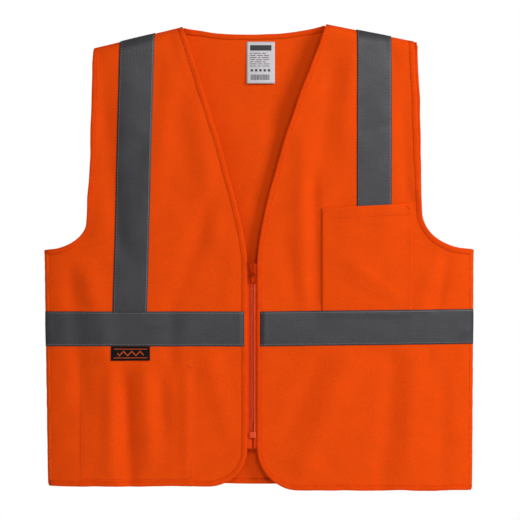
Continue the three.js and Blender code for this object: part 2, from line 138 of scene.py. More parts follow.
@dataclass(eq=False)
class Side:
    """One side of the vest. Its outlines are in (u, z), u running from the centre plane out to the side."""
    name: str
    sign: int  # the way that u runs along X
    neck: tuple  # where the neck meets the shoulder
    pull: tuple  # handles of the V's curve, from the neck point and from the front edge
    shoulder: tuple  # the shoulder's outer end on the front
    shoulder_back: float  # and on the back
    bend: tuple  # where the armhole turns down: out from the shoulder's end, and at what height
    curve: tuple  # the underarm's width, its height and the height of its foot
    edge: float  # the front edge
    hem: float  # height of the hem
    corner: float  # radius of the front's lower corner
    taper: float  # how much narrower the hem is than the underarm
    fold: float  # the line on which the front folds open
    tape: float  # inner edge of the shoulder tape at the neck's height
    drift: float  # how far out it has moved at the waist
    tape_foot: float  # where its front run ends
    rise: float  # how far the waist tape climbs towards the side

    def shoulder_at(self, u):
        """Height of the shoulder line."""
        (u0, z0), (u1, z1) = self.neck, self.shoulder
        return z0 + (u - u0) * (z1 - z0) / (u1 - u0)

    def half_width(self, z):
        """The side seam's distance from the centre plane."""
        foot = self.curve[2]
        down = (foot - z) / (foot - self.hem)
        return HALF_WIDTH - self.taper * min(max(down, 0), 1)

    def neck_line(self, steps=70, straight=60):
        """The V edge and front edge, from the neck point down to the rounded corner's end on the hem."""
        (pull_u, pull_z), (foot_u, foot_z) = self.pull
        handles = [self.neck, (self.neck[0] + pull_u, self.neck[1] + pull_z),
                   (self.edge + foot_u, foot_z), (self.edge, NECK_FOOT)]
        line = [curve_point(handles, i / steps) for i in range(steps + 1)]
        r, low = self.corner, self.hem + self.corner
        line += [(self.edge, NECK_FOOT + (low - NECK_FOOT) * i / straight) for i in range(1, straight)]
        return line + [(self.edge + r - r * math.cos(t), low - r * math.sin(t)) for t in QUARTER]

    def arm_line(self, face, steps=40):
        """The armhole, from the side seam up to the shoulder line."""
        inset, rise, foot = self.curve
        drift, bend = self.bend
        top = self.shoulder[0] if face == FRONT else self.shoulder_back
        line = [(HALF_WIDTH - inset * math.sin(t), foot + rise - rise * math.cos(t)) for t in QUARTER]
        handles = [line[-1], (top + drift + 2, bend - 30), (top + drift - 1, bend + 40),
                   (top, self.shoulder_at(top))]
        return line + [curve_point(handles, i / steps) for i in range(1, steps + 1)]


def curve_point(handles, t):
    """A point of a Bezier curve."""
    points = [Vector(h) for h in handles]
    while len(points) > 1:
        points = [a.lerp(b, t) for a, b in zip(points, points[1:])]
    return tuple(points[0])


RIGHT = Side(
    name="right", sign=-1, neck=(110, -4), pull=((-30, -94), (1, -281)), shoulder=(239, -35),
    shoulder_back=238, bend=(3, -181), curve=(60, 40, -325), edge=17, hem=-666, corner=54, taper=5, fold=92,
    tape=150, drift=11, tape_foot=-413.6, rise=0)
LEFT = Side(
    name="left", sign=1, neck=(97, 0), pull=((-35, -85), (2, -262)), shoulder=(224, -25), shoulder_back=230,
    bend=(5, -177), curve=(73, 54, -324), edge=-3, hem=-672, corner=62, taper=2, fold=84, tape=141, drift=0,
    tape_foot=-289, rise=3.5)
SIDES = (RIGHT, LEFT)
WAIST_TOP = -414
TAPE_WIDTH = 50


def side_at(x):
    return RIGHT if x < 0 else LEFT


# Soft folds: (x, z) of both ends, half width, height. A negative height is a hollow.
FOLD_DEPTH = {FRONT: 1.3, BACK: 1.1}  # share of the heights below
FOLD_BEYOND, FOLD_WITHIN = 20, 30  # a fold fades from this far past its ends to this far inside them
UNDER_TAPE = 0.33  # share of the unevenness that the waist tape's stitching leaves
FOLDS = {
    FRONT: [
        ((-196, -500), (-186, -672), 11, -5.2),
        ((-212, -500), (-214, -668), 12, 3.0),
        ((-166, -480), (-156, -640), 12, 3.2),
        ((-142, -500), (-136, -600), 9, -2.4),
        ((-124, -400), (-128, -500), 11, -3.8),
        ((-104, -490), (-102, -650), 8, 2.0),
        ((-95.5, -492), (-96, -640), 2.6, -2.0),
        ((-259, -500), (-259, -650), 2.4, -0.7),
        ((-74, -470), (-40, -600), 16, 2.6),
        ((-250, -345), (-214, -500), 15, 3.2),
        ((-274, -350), (-252, -560), 14, -3.2),
        ((-236, -250), (-262, -330), 12, -2.2),
        ((-226, -110), (-200, -330), 14, -2.0),
        ((-236, -60), (-240, -180), 9, 1.4),
        ((-118, -30), (-150, -230), 16, 2.2),
        ((-92, -110), (-56, -330), 18, 2.6),
        ((-60, -230), (-120, -400), 13, -2.6),
        ((-30, -300), (-46, -440), 12, 1.6),
        ((78, -215), (80, -420), 8, -3.4),
        ((62, -150), (64, -400), 14, 2.6),
        ((34, -300), (60, -420), 12, -1.8),
        ((108, -50), (84, -220), 13, -2.2),
        ((140, -20), (120, -180), 12, 1.4),
        ((258, -340), (205, -480), 15, 2.4),
        ((272, -330), (240, -500), 9, -2.4),
        ((222, -225), (256, -305), 9, 2.0),
        ((208, -130), (214, -260), 9, -1.4),
        ((130, -470), (60, -650), 17, 2.8),
        ((92, -470), (30, -610), 13, -2.4),
        ((196, -468), (176, -668), 15, -2.8),
        ((226, -470), (214, -668), 14, 2.2),
        ((264, -480), (262, -668), 14, -1.9),
        ((178, -12), (196, -62), 9, -1.5),
        ((-130, -14), (-118, -70), 9, -1.5),
    ],
    BACK: [
        ((-120, -60), (-60, -330), 26, 2.0),
        ((110, -60), (70, -360), 24, -1.8),
        ((-235, -300), (-150, -430), 18, -2.0),
        ((235, -290), (160, -420), 18, 2.0),
        ((-210, -480), (-200, -660), 20, 2.2),
        ((-90, -470), (-76, -660), 22, -2.2),
        ((30, -470), (48, -660), 20, 2.2),
        ((150, -470), (160, -660), 20, -2.0),
        ((236, -480), (230, -660), 18, 1.8),
        ((-6, -140), (-6, -720), 62, -8.0),
    ],
}


def step(value, low, high):
    """0 up to low, 1 from high, and smooth between."""
    t = min(max((value - low) / (high - low), 0), 1)
    return t * t * (3 - 2 * t)


def ripple(x, z, size, seed):
    """Smooth unevenness of a size in millimetres, different for each seed."""
    return noise.noise(Vector((x / size, z / size, seed)))


def fold_height(x, z, start, end, width, height):
    """One soft fold: a ridge or hollow along a line, which fades at both of its ends."""
    ax, az = end[0] - start[0], end[1] - start[1]
    size = math.hypot(ax, az)
    along = ((x - start[0]) * ax + (z - start[1]) * az) / size
    away = ((x - start[0]) * az - (z - start[1]) * ax) / size
    if abs(away) > 3 * width or not -FOLD_BEYOND < along < size + FOLD_BEYOND:
        return 0
    ends = step(along, -FOLD_BEYOND, FOLD_WITHIN) * step(size - along, -FOLD_BEYOND, FOLD_WITHIN)
    return height * math.exp(-(away / width) ** 2) * ends


def swell(face, x, z, sizes):
    """How far the cloth stands out from its plain section."""
    broad = ripple(x, z * 0.55, 90, 3.3 * face) + 0.35 * ripple(x, z * 0.7, 37, 8.1 * face)
    height = sizes.sway / MM * broad
    height += FOLD_DEPTH[face] * sum(fold_height(x, z, *fold) for fold in FOLDS[face])
    from_tape = abs(z - (WAIST_TOP - TAPE_WIDTH / 2)) / (TAPE_WIDTH / 2)
    height *= UNDER_TAPE + (1 - UNDER_TAPE) * step(from_tape, 0.8, 1.6)
    if face == FRONT:  # the zip holds the front edges even
        near_zip = 1 - step(abs(x - ZIP_X), 12, 50)
        height *= 1 - near_zip * step(-z, -NECK_FOOT - 70, -NECK_FOOT)
    return height * step(side_at(x).half_width(z) - abs(x), 2, 40)


def hem_pucker(face, x, z, sizes):
    """Small ripples that run up from the hem's stitching and in from the side seams."""
    side = side_at(x)
    up = max(z - (side.hem if face == FRONT else BACK_HEM) - 8, 0)
    inward = max(side.half_width(z) - abs(x), 0)
    ripples = ripple(x, z * 0.25, 9, 5.5) * math.exp(-up / 16)
    ripples += ripple(x * 0.25, z, 9, 2.5) * math.exp(-inward / 12) * step(inward, 0, 4)
    return ripples * 2 * sizes.pucker / MM


def flat_section(u, half_width):
    """The plain section at u: its depth, and its outward direction across and outwards."""
    t = (u - FLAT_HALF) / (half_width - FLAT_HALF)
    if t <= 0:
        return HALF_DEPTH, (0.0, 1.0)
    t = min(t, 1)
    share = max(1 - t ** ROUNDNESS, 0) ** (1 / ROUNDNESS)
    across = t ** (ROUNDNESS - 1) / (half_width - FLAT_HALF)
    out = max(share, 1e-4) ** (ROUNDNESS - 1) / HALF_DEPTH
    size = math.hypot(across, out)
    return HALF_DEPTH * share, (across / size, out / size)


def skin(face, x, z, sizes, height=0.0):
    """A point over the cloth's inside, and the outward direction there."""
    side = side_at(x)
    depth, (across, out) = flat_section(abs(x), side.half_width(z))
    rise = 1 - min(max(side.shoulder_at(abs(x)) - z, 0) / ARCH, 1)
    upright = math.sqrt(1 - rise * rise)  # 1 below the shoulder's roll, and 0 at its top
    bulge = swell(face, x, z, sizes) + hem_pucker(face, x, z, sizes)
    reach = 1.5  # each way from the point, to find the slopes there
    slope_x = (swell(face, x + reach, z, sizes) - swell(face, x - reach, z, sizes)) / (2 * reach)
    slope_z = (swell(face, x, z + reach, sizes) - swell(face, x, z - reach, sizes)) / (2 * reach)
    normal = Vector(((math.copysign(across, x) - slope_x) * upright, face * out * upright,
                     rise - slope_z * upright))
    normal.normalize()
    return Vector((x, face * (depth + bulge) * upright, z)) + normal * height, normal


def side_skin(side, y, z, height=0.0):
    """A point over the cloth where it turns round the side seam, at a depth y."""
    half = side.half_width(z)
    share = min(abs(y) / HALF_DEPTH, 1)
    t = (1 - share ** ROUNDNESS) ** (1 / ROUNDNESS)
    u = FLAT_HALF + (half - FLAT_HALF) * t
    _, (across, out) = flat_section(u, half)
    normal = Vector((side.sign * across, math.copysign(out, y) if y else 0, 0)).normalized()
    return Vector((side.sign * u, y, z)) + normal * height, normal


# ---------------------------------------------------------------- meshes

def finish_piece(name, bm, material):
    """Makes an object of a finished bmesh whose places are in millimetres."""
    bmesh.ops.scale(bm, vec=(MM, MM, MM), verts=bm.verts)
    mesh = bpy.data.meshes.new(name)
    bm.to_mesh(mesh)
    bm.free()
    mesh.shade_smooth()
    mesh.materials.append(material)
    made = bpy.data.objects.new(name, mesh)
    bpy.context.scene.collection.objects.link(made)
    return made


def cloth_piece(name, bm, material, slot_name, thick, nodes, **cut):
    """A finished sheet that stands for some nodes. cut, its flat size and how it is held, is not used."""
    made = finish_piece(name, bm, material)
    solid = made.modifiers.new("Thickness", "SOLIDIFY")
    solid.thickness = thick * MM
    solid.offset = -1  # inwards from the surface that shows
    solid.use_even_offset = False
    solid.use_rim = True
    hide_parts(*nodes)
    return made


def solid_piece(name, bm, material, node_name, body):
    """A finished hard piece that stands for a node and moves with a body."""
    made = finish_piece(name, bm, material)
    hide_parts(node_name)
    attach(made, body)


def corners(node_name):
    """A node's lowest and highest corners, in millimetres."""
    return [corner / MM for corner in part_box(node_name)]


def grid(columns, rows, place, flat=(1.0, 1.0)):
    """A grid laid out by place(u, v), which gives a point and its outward direction, u and v from 0 to 1.

    The UV map holds the cloth's own metres, from its flat size."""
    bm = bmesh.new()
    uv = bm.loops.layers.uv.new("UVMap")
    bmesh.ops.create_grid(bm, x_segments=columns, y_segments=rows, size=1)
    where = {v: ((v.co.x + 1) / 2, (v.co.y + 1) / 2) for v in bm.verts}
    for face in bm.faces:
        for loop in face.loops:
            u, v = where[loop.vert]
            loop[uv].uv = (u * flat[0], v * flat[1])
    outward = {}
    for vert, (u, v) in where.items():
        vert.co, outward[vert] = place(u, v)
    bm.normal_update()
    agree = sum(f.normal.dot(outward[f.verts[0]]) for f in bm.faces)
    if agree < 0:
        bmesh.ops.reverse_faces(bm, faces=bm.faces)
    return bm


def joined(parts):
    """One bmesh from several, which it frees."""
    whole = bmesh.new()
    for part in parts:
        scratch = bpy.data.meshes.new("scratch")
        part.to_mesh(scratch)
        part.free()
        whole.from_mesh(scratch)
        bpy.data.meshes.remove(scratch)
    return whole


def beads(shapes, around=6, along=4, batch=20):
    """Small rounded beads, one for each matrix, made in batches because operators slow as a mesh grows."""
    parts = []
    for first in range(0, len(shapes), batch):
        part = bmesh.new()
        for shape in shapes[first:first + batch]:
            bmesh.ops.create_uvsphere(part, u_segments=around, v_segments=along, radius=1, matrix=shape)
        bmesh.ops.recalc_face_normals(part, faces=part.faces)
        parts.append(part)
    return joined(parts)


def even_line(points, spacing):
    """The same line again, with points a spacing apart."""
    points = [Vector(p) for p in points]
    lengths = [(b - a).length for a, b in zip(points, points[1:])]
    total = sum(lengths)
    count = max(int(round(total / spacing)), 2)
    made, i, before = [], 0, 0.0
    for k in range(count + 1):
        at = total * k / count
        while i < len(lengths) - 1 and before + lengths[i] < at:
            before += lengths[i]
            i += 1
        made.append(points[i].lerp(points[i + 1], min((at - before) / max(lengths[i], 1e-9), 1)))
    return made


def at_height(line):
    """A function that gives u at a height, for a line whose height only ever rises or falls."""
    ordered = sorted((z, u) for u, z in line)

    def find(z):
        if z <= ordered[0][0]:
            return ordered[0][1]
        for (z0, u0), (z1, u1) in zip(ordered, ordered[1:]):
            if z <= z1:
                return u0 + (u1 - u0) * (z - z0) / max(z1 - z0, 1e-9)
        return ordered[-1][1]
    return find


ROW, FINE_ROW = 4.6, 1.8  # from one row of a sheet to the next
ARCH_ROWS = 7  # over each half of the shoulder's roll
TUCK = 1.2  # a panel's cut edge lies this far inside its outline, under the binding
ROUND_SIDE = 4  # what a panel's width gains on its way round the side
CUT_SHARE = {FRONT: 0.8, BACK: 0.85}  # how much of its rectangle a panel's shape fills


def row_drops(top, foot, dense):
    """How far below the top each row of a panel lies. Rows are closer together over the dense heights."""
    drops = [ARCH * (1 - math.sin(math.pi / 2 * (1 - i / ARCH_ROWS))) for i in range(ARCH_ROWS + 1)]
    z = top - ARCH
    while z > foot:
        z -= FINE_ROW if any(low <= z <= high for low, high in dense) else ROW
        drops.append(min(top - z, top - foot))
    return drops


def row_height(drop, top, foot, total):
    """Height of a row: those of the shoulder's roll hang from the top, and the others share what is left."""
    if drop <= ARCH:
        return top - drop
    return top - ARCH + (foot - top + ARCH) * (drop - ARCH) / (total - ARCH)


def front_cloth(side, sizes, material):
    """One front: a sheet between the front edge, the hem, the side seam, the armhole and the shoulder."""
    inner = at_height(side.neck_line())
    outer = at_height([(side.half_width(side.hem), side.hem)] + side.arm_line(FRONT))
    top, foot, underarm = side.neck[1], side.hem + TUCK, side.curve[2]
    total = top - foot
    drops = row_drops(top, foot, [(foot, foot + 16), (underarm - 2, underarm + 22)])
    outer_top = side.shoulder_at(outer(side.shoulder_at(side.shoulder[0])))
    near_top, far_top = inner(top) + TUCK, outer(outer_top) - TUCK

    def place(u, v):
        drop = drops[round((1 - v) * (len(drops) - 1))]
        share = 1 - (1 - u) ** 1.25  # columns are closer together towards the side
        z_in = row_height(drop, side.shoulder_at(near_top), foot, total)
        z_out = row_height(drop, outer_top, foot, total)
        near = inner(z_in) + TUCK
        far = outer(z_out) - TUCK * step(z_out, underarm, underarm + 4)
        z = row_height(drop, side.shoulder_at(near_top + (far_top - near_top) * share), foot, total)
        return skin(FRONT, side.sign * (near + (far - near) * share), z, sizes, sizes.cloth / MM)
    flat = ((HALF_WIDTH - side.edge + ROUND_SIDE) * MM, total * MM)
    made = cloth_piece(
        f"{side.name}_front_cloth", grid(56, len(drops) - 1, place, flat), material, "knit_orange",
        sizes.cloth / MM, [f"{side.name}_front_panel", f"{side.name}_front_edge_panel"], flat=flat,
        area=flat[0] * flat[1] * CUT_SHARE[FRONT], held="hung",
        rests_on=[f"{side.name}_shoulder_roll", f"{side.name}_side_roll"])
    blend_over_fold(made)


def back_top(x):
    """Height of the back's top edge: shoulder, neck curve, shoulder."""
    side = side_at(x)
    if abs(x) >= side.neck[0]:
        return side.shoulder_at(abs(x))
    start, end = (-RIGHT.neck[0], RIGHT.neck[1]), LEFT.neck
    t = (x - start[0]) / (end[0] - start[0])
    return curve_point([start, BACK_NECK, end], t)[1]


def back_cloth(sizes, material):
    """The back: a sheet from side seam to side seam, from the neck and shoulders down to the hem."""
    outers = {s: at_height([(s.half_width(BACK_HEM), BACK_HEM)] + s.arm_line(BACK)) for s in SIDES}
    tops = {s: s.shoulder_at(outers[s](s.shoulder_at(s.shoulder_back))) for s in SIDES}
    foot, underarm = BACK_HEM + TUCK, RIGHT.curve[2]
    total = tops[RIGHT] - foot
    drops = row_drops(tops[RIGHT], foot, [(foot, foot + 12), (underarm - 2, underarm + 23)])

    def reach(side, drop):
        z = row_height(drop, tops[side], foot, total)
        return outers[side](z) - (TUCK if z > side.curve[2] else 0)

    def place(u, v):
        drop = drops[round((1 - v) * (len(drops) - 1))]
        share = 0.5 - 0.5 * math.copysign(1 - (1 - abs(1 - 2 * u)) ** 1.2, 0.5 - u)
        at_top = -reach(RIGHT, 0) * (1 - share) + reach(LEFT, 0) * share
        x = -reach(RIGHT, drop) * (1 - share) + reach(LEFT, drop) * share
        top = back_top(at_top) - (TUCK if -RIGHT.neck[0] < at_top < LEFT.neck[0] else 0)
        return skin(BACK, x, row_height(drop, top, foot, total), sizes, sizes.cloth / MM)
    flat = (2 * (HALF_WIDTH + ROUND_SIDE) * MM, total * MM)
    made = cloth_piece(
        "back_cloth", grid(112, len(drops) - 1, place, flat), material, "knit_orange", sizes.cloth / MM,
        ["back_panel"], flat=flat, area=flat[0] * flat[1] * CUT_SHARE[BACK], held="hung",
        rests_on=[f"{side.name}_shoulder_roll" for side in SIDES])
    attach(made, "root")


# ---------------------------------------------------------------- bindings and sewing

# The folded strip's outer side: (way in from the edge, height), for a binding 8 wide.
BINDING_SECTION = [
    (8.0, 1.0), (7.3, 1.35), (6.6, 1.2), (5.6, 1.55), (4.0, 1.8), (2.2, 1.8), (0.9, 1.6), (0.15, 1.1),
    (-0.1, 0.4), (0.15, -0.3), (0.9, -0.75), (2.6, -0.9), (5.2, -0.85), (7.7, -0.6),
]
BINDING_CUT, BINDING_ROUND = 18.5, 18  # width of the strip as cut, and about what its section measures
STITCH_IN = 6.5
HEM_SHORT = 1.5  # the hem bindings end this far before the side seam


def edge_stations(line, face, turn, sign=1, spacing=3.6):
    """Places along an outline: face, x, z and the direction into the cloth, which lies to its turn side."""
    points = even_line([(sign * u, z) for u, z in line], spacing)
    made = []
    for i, p in enumerate(points):
        ahead = (points[min(i + 1, len(points) - 1)] - points[max(i - 1, 0)]).normalized()
        into = Vector((-ahead.y, ahead.x)) * turn * sign
        wave = 0.7 * ripple(p.x, p.y, 24, 1.7) + 2.2 * ripple(p.x, p.y, 75, 4.9) * step(i, 0, 8)
        wave *= step(len(points) - 1 - i, 0, 8) * (0.1 + 0.9 * step(abs(p.x - ZIP_X), 14, 45))
        p = p + into * wave
        made.append((face, p.x, p.y, into))
    return made


def binding(name, stations, nodes, sizes, material, closed=False):
    """A strip folded over a cut edge."""
    width = sizes.binding / MM / BINDING_SECTION[0][0]
    last = len(BINDING_SECTION) - 1

    def place(u, v):
        inward, height = BINDING_SECTION[round(u * last)]
        face, x, z, into = stations[round(v * (len(stations) - 1))]
        ease = 0.12 * ripple(x + 40 * u, z, 5, 6.1)
        inward *= width * (1 + 0.05 * ripple(x, z, 14, 9.4))
        return skin(face, x + into.x * inward, z + into.y * inward, sizes, height + ease)
    long = sum((Vector(a[1:3]) - Vector(b[1:3])).length for a, b in zip(stations, stations[1:]))
    strip = grid(last, len(stations) - 1, place, (BINDING_ROUND * MM, long * MM))
    if closed:
        bmesh.ops.remove_doubles(strip, verts=strip.verts, dist=0.3)
    return cloth_piece(name, strip, material, "binding_orange", sizes.binding_cloth / MM, nodes,
                       flat=(BINDING_CUT * MM, long * MM), held="folded")


def binding_seam(stations, sizes, height=1.35):
    """The stitch line of a binding."""
    width = sizes.binding / MM / BINDING_SECTION[0][0]
    return [skin(f, x + n.x * STITCH_IN * width, z + n.y * STITCH_IN * width, sizes, height)
            for f, x, z, n in stations]


def seam_line(face, line, sizes, height, spacing=4):
    """A stitch line through points (x, z) on the front or back."""
    return [skin(face, p.x, p.y, sizes, height) for p in even_line(line, spacing)]


def lifted(places, height=0.15):
    """The same places, raised along their outward directions."""
    return [(place + normal * height, normal) for place, normal in places]


def stitching(name, seams, sizes, material):
    """Rows of machine stitches, each one a short raised thread."""
    long, space, wide = sizes.stitch / MM, sizes.stitch_gap / MM, sizes.thread / MM
    shapes = []
    for seam in seams:
        run, due = 0.0, space
        for (a, normal), (b, _) in zip(seam, seam[1:]):
            size = (b - a).length
            if size < 1e-6:
                continue
            ahead = (b - a) / size
            while due + long / 2 <= run + size:
                side = ahead.cross(normal).normalized()
                up = side.cross(ahead)
                shape = Matrix((side * wide / 2, up * wide * 0.45, ahead * long / 2)).transposed().to_4x4()
                shape.translation = a + ahead * (due + long / 2 - run)
                shapes.append(shape)
                due += long + space
            run += size
    return finish_piece(name, beads(shapes), material)


def blend_over_fold(piece):
    """Bakes the placement of a piece of a front into its mesh."""
    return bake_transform(piece)


def front_edge_stations(side):
    end = side.half_width(side.hem) - HEM_SHORT
    return edge_stations(side.neck_line() + [(end, side.hem)], FRONT, 1, side.sign)


def armhole_stations(side):
    up = edge_stations(side.arm_line(FRONT), FRONT, 1, side.sign)
    down = edge_stations(side.arm_line(BACK), BACK, 1, side.sign)[::-1]
    return up + down[1:]


def back_neck_stations():
    line = [(x, back_top(x)) for x in range(-int(RIGHT.neck[0]) + 1, int(LEFT.neck[0]), 3)]
    return edge_stations(line, BACK, -1)


def back_hem_stations():
    right, left = (side.sign * (side.half_width(BACK_HEM) - HEM_SHORT) for side in SIDES)
    return edge_stations([(right, BACK_HEM), (left, BACK_HEM)], BACK, 1)


ROLL_CLOTH = 0.5  # thickness of the rolled seams


def shoulder_seam(side, sizes, material):
    """The rolled seam where front and back meet over the shoulder."""
    half, shows, cut = 4.7, 8, 10.5
    (u0, _), (u1, _) = side.neck, side.shoulder
    long = u1 - u0

    def place(u, v):
        across = (2 * u - 1) * half / ARCH
        at = u0 + 1 + (long - 2) * v
        drop = ARCH * (1 - math.cos(across))
        height = sizes.cloth / MM + 0.1 + 0.7 * (1 - (2 * u - 1) ** 2) + 0.15 * ripple(at, u * 5, 7, 2.2)
        return skin(FRONT if u < 0.5 else BACK, side.sign * at, side.shoulder_at(at) - drop, sizes, height)
    made = cloth_piece(
        f"{side.name}_shoulder_roll", grid(10, 44, place, (shows * MM, long * MM)), material, "knit_orange",
        ROLL_CLOTH, [f"{side.name}_shoulder_seam"], flat=(cut * MM, long * MM), held="folded")
    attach(made, "root")


def side_seam(side, sizes, material):
    """The rolled seam down the side, from the armhole to the hem."""
    half, shows, cut = 3.4, 10, 11
    foot, top = side.hem + 4, side.curve[2] - 1
    long = top - foot

    def place(u, v):
        y, z = (2 * u - 1) * half, foot + long * v
        height = sizes.cloth / MM + 0.1 + 0.6 * (1 - (2 * u - 1) ** 2) + 0.35 * ripple(y, z, 8, 4.4)
        return side_skin(side, y, z, height)
    made = cloth_piece(
        f"{side.name}_side_roll", grid(12, 90, place, (shows * MM, long * MM)), material, "knit_orange",
        ROLL_CLOTH, [f"{side.name}_side_seam"], flat=(cut * MM, long * MM), held="folded")
    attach(made, "root")


# ---------------------------------------------------------------- tapes

TAPE_HEIGHT = 1.5
TAPE_STITCH = 2.3  # in from the tape's edge
TAPE_START = 4.5  # from the front edge to the waist tape's end
SIDE_GAP = 0.15  # from the side seam's line to the waist tapes' outer ends
# (x, z) of the crease's middle, half width, height
TAPE_CREASES = ((-133, -170, 4, -0.7), (-129, -186, 5, 0.6), (-128, -386, 5, -0.7), (166, -150, 6, -0.5))


def tape_skin(face, x, z, sizes, across):
    """The tape lies on the cloth, is drawn down along its two stitch lines, and has a few creases."""
    side = side_at(x)
    edge = min(across, TAPE_WIDTH - across)
    height = TAPE_HEIGHT - 0.35 * math.exp(-((edge - TAPE_STITCH) / 1.4) ** 2)
    height += 0.22 * ripple(x, z, 26, 12.5) + 0.12 * ripple(x, z, 8, 7.5)
    height += 1.1 * (1 - step(side.shoulder_at(abs(x)) - z, 1, 5))  # over the shoulder seam
    if z < WAIST_TOP + 5:
        height += 0.6 * step(abs(x), HALF_WIDTH - 16, HALF_WIDTH - 5)  # over the side seam
        if face == FRONT and abs(x - ZIP_X) < 30:
            height += 0.75 * (1 - step(side.sign * x, side.edge + 8, side.edge + 14))  # over the binding
        if face == FRONT and x > 0:
            pocket = step(x, POCKET_LOW.x - 3, POCKET_LOW.x) * (1 - step(x, POCKET_HIGH.x, POCKET_HIGH.x + 3))
            height += 0.85 * pocket * step(z, WAIST_TOP - 9, WAIST_TOP - 4)  # over the pocket's foot
    for crease_x, crease_z, size, deep in TAPE_CREASES if face == FRONT else ():
        away = z - crease_z - 0.25 * (x - crease_x)
        height += deep * math.exp(-(away / size) ** 2) * step(45 - abs(x - crease_x), 0, 30)
    return skin(face, x, z, sizes, height)


def shoulder_tape_u(side, z):
    """The inner edge of a shoulder tape."""
    return side.tape + side.drift * z / WAIST_TOP


def shoulder_tape(side, sizes, material):
    """One strip up the front, over the shoulder and down the back. Gives its stitch lines."""
    under = 2.5  # tucked under the waist tape
    feet = {FRONT: side.tape_foot - (0 if side is LEFT else under), BACK: WAIST_TOP + LEFT.rise - under}
    middle_top = side.shoulder_at(side.tape + TAPE_WIDTH / 2) - ARCH
    rows = []  # face, height, and how far up the shoulder's roll
    for face, way in ((FRONT, 1), (BACK, -1)):
        foot = feet[face]
        count = int((middle_top - foot) / ROW)
        line = [(face, foot + (middle_top - foot) * i / count, 0.0) for i in range(count + 1)]
        over = range(1, ARCH_ROWS + 1 if face == FRONT else ARCH_ROWS)
        line += [(face, 0.0, math.sin(math.pi / 2 * i / ARCH_ROWS)) for i in over]
        rows += line[::way]

    def place(u, v):
        face, z, rolled = rows[round(v * (len(rows) - 1))]
        top = side.shoulder_at(side.tape + TAPE_WIDTH * u) - ARCH
        if rolled:
            z = top + ARCH * rolled
        else:
            z = feet[face] + (top - feet[face]) * (z - feet[face]) / (middle_top - feet[face])
        across = shoulder_tape_u(side, z) + TAPE_WIDTH * u
        return tape_skin(face, side.sign * across, z, sizes, TAPE_WIDTH * u)
    roll = math.pi / 2 * (ARCH + HALF_DEPTH) / 2
    flat = (TAPE_WIDTH * MM, (middle_top * 2 - feet[FRONT] - feet[BACK] + 2 * roll) * MM)
    made = cloth_piece(
        f"{side.name}_shoulder_band", grid(14, len(rows) - 1, place, flat), material, "reflective_tape",
        sizes.tape_cloth / MM, [f"{side.name}_shoulder_tape"], flat=flat, held="laid",
        rests_on=[f"{side.name}_front_cloth", "back_cloth"])
    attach(made, "root")
    return [lifted([place(across / TAPE_WIDTH, i / (len(rows) - 1)) for i in range(len(rows))])
            for across in (TAPE_STITCH, TAPE_WIDTH - TAPE_STITCH)]


def waist_line(side, across, down):
    """A point (x, z) of a front's waist tape, across from its inner to its outer end and down its width."""
    inner, outer = side.edge + TAPE_START, side.half_width(WAIST_TOP - down) - SIDE_GAP
    u = outer - (outer - inner) * (1 - across) ** 1.7
    return side.sign * u, WAIST_TOP + side.rise * (u - inner) / (outer - inner) - down


def waist_tape(name, face, line, columns, sizes, material, long, nodes, rests_on):
    """A band and its stitch lines. Its line gives (x, z) across the front or back and down the band."""
    def place(u, v):
        x, z = line(u, TAPE_WIDTH * (1 - v))
        return tape_skin(face, x, z, sizes, TAPE_WIDTH * v)
    flat = (long * MM, TAPE_WIDTH * MM)
    made = cloth_piece(name, grid(columns, 14, place, flat), material, "reflective_tape",
                       sizes.tape_cloth / MM, nodes, flat=flat, held="laid", rests_on=[rests_on])
    return made, [lifted([place(i / columns, 1 - down / TAPE_WIDTH) for i in range(columns + 1)])
                  for down in (TAPE_STITCH, TAPE_WIDTH - TAPE_STITCH)]


def add_waist_tapes(sizes, material):
    """The band round the waist: one strip on each front, and one across the back."""
    seams = {}
    for side in SIDES:
        made, seams[side.name] = waist_tape(
            f"{side.name}_waist_band", FRONT, lambda u, down, side=side: waist_line(side, u, down), 62, sizes,
            material, HALF_WIDTH - side.edge - 1,
            [f"{side.name}_waist_tape_side", f"{side.name}_waist_tape_edge"], f"{side.name}_front_cloth")
        blend_over_fold(made)

    def across_back(u, down):
        reach = (RIGHT if u < 0.5 else LEFT).half_width(WAIST_TOP - down) - SIDE_GAP
        x = math.copysign(1 - (1 - abs(2 * u - 1)) ** 1.5, u - 0.5) * reach
        return x, WAIST_TOP + LEFT.rise * (x / reach + 1) / 2 - down
    made, seams["back"] = waist_tape(
        "back_waist_band", BACK, across_back, 120, sizes, material, 2 * (HALF_WIDTH - SIDE_GAP),
        ["back_waist_tape", "right_waist_tape_back", "left_waist_tape_back"], "back_cloth")
    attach(made, "root")
    return seams


# ---------------------------------------------------------------- pockets

POCKET_LOW, POCKET_HIGH = corners("chest_pocket")
POCKET_SLANT = 7  # the mouth climbs by this much towards the side
MOUTH_HEM = 15
MOUTH_ROLL = 12  # cloth turned in behind the mouth
POCKET_SEAM = 2.2  # in from the pocket's edge
TACK, TACK_ROW = 7, 1.1  # length of a slanting tack across a pocket's corner, and between its two rows
POCKET_FOLDS = (((112, -330), (206, -398), 9, 1.1), ((120, -372), (196, -408), 7, -0.9))


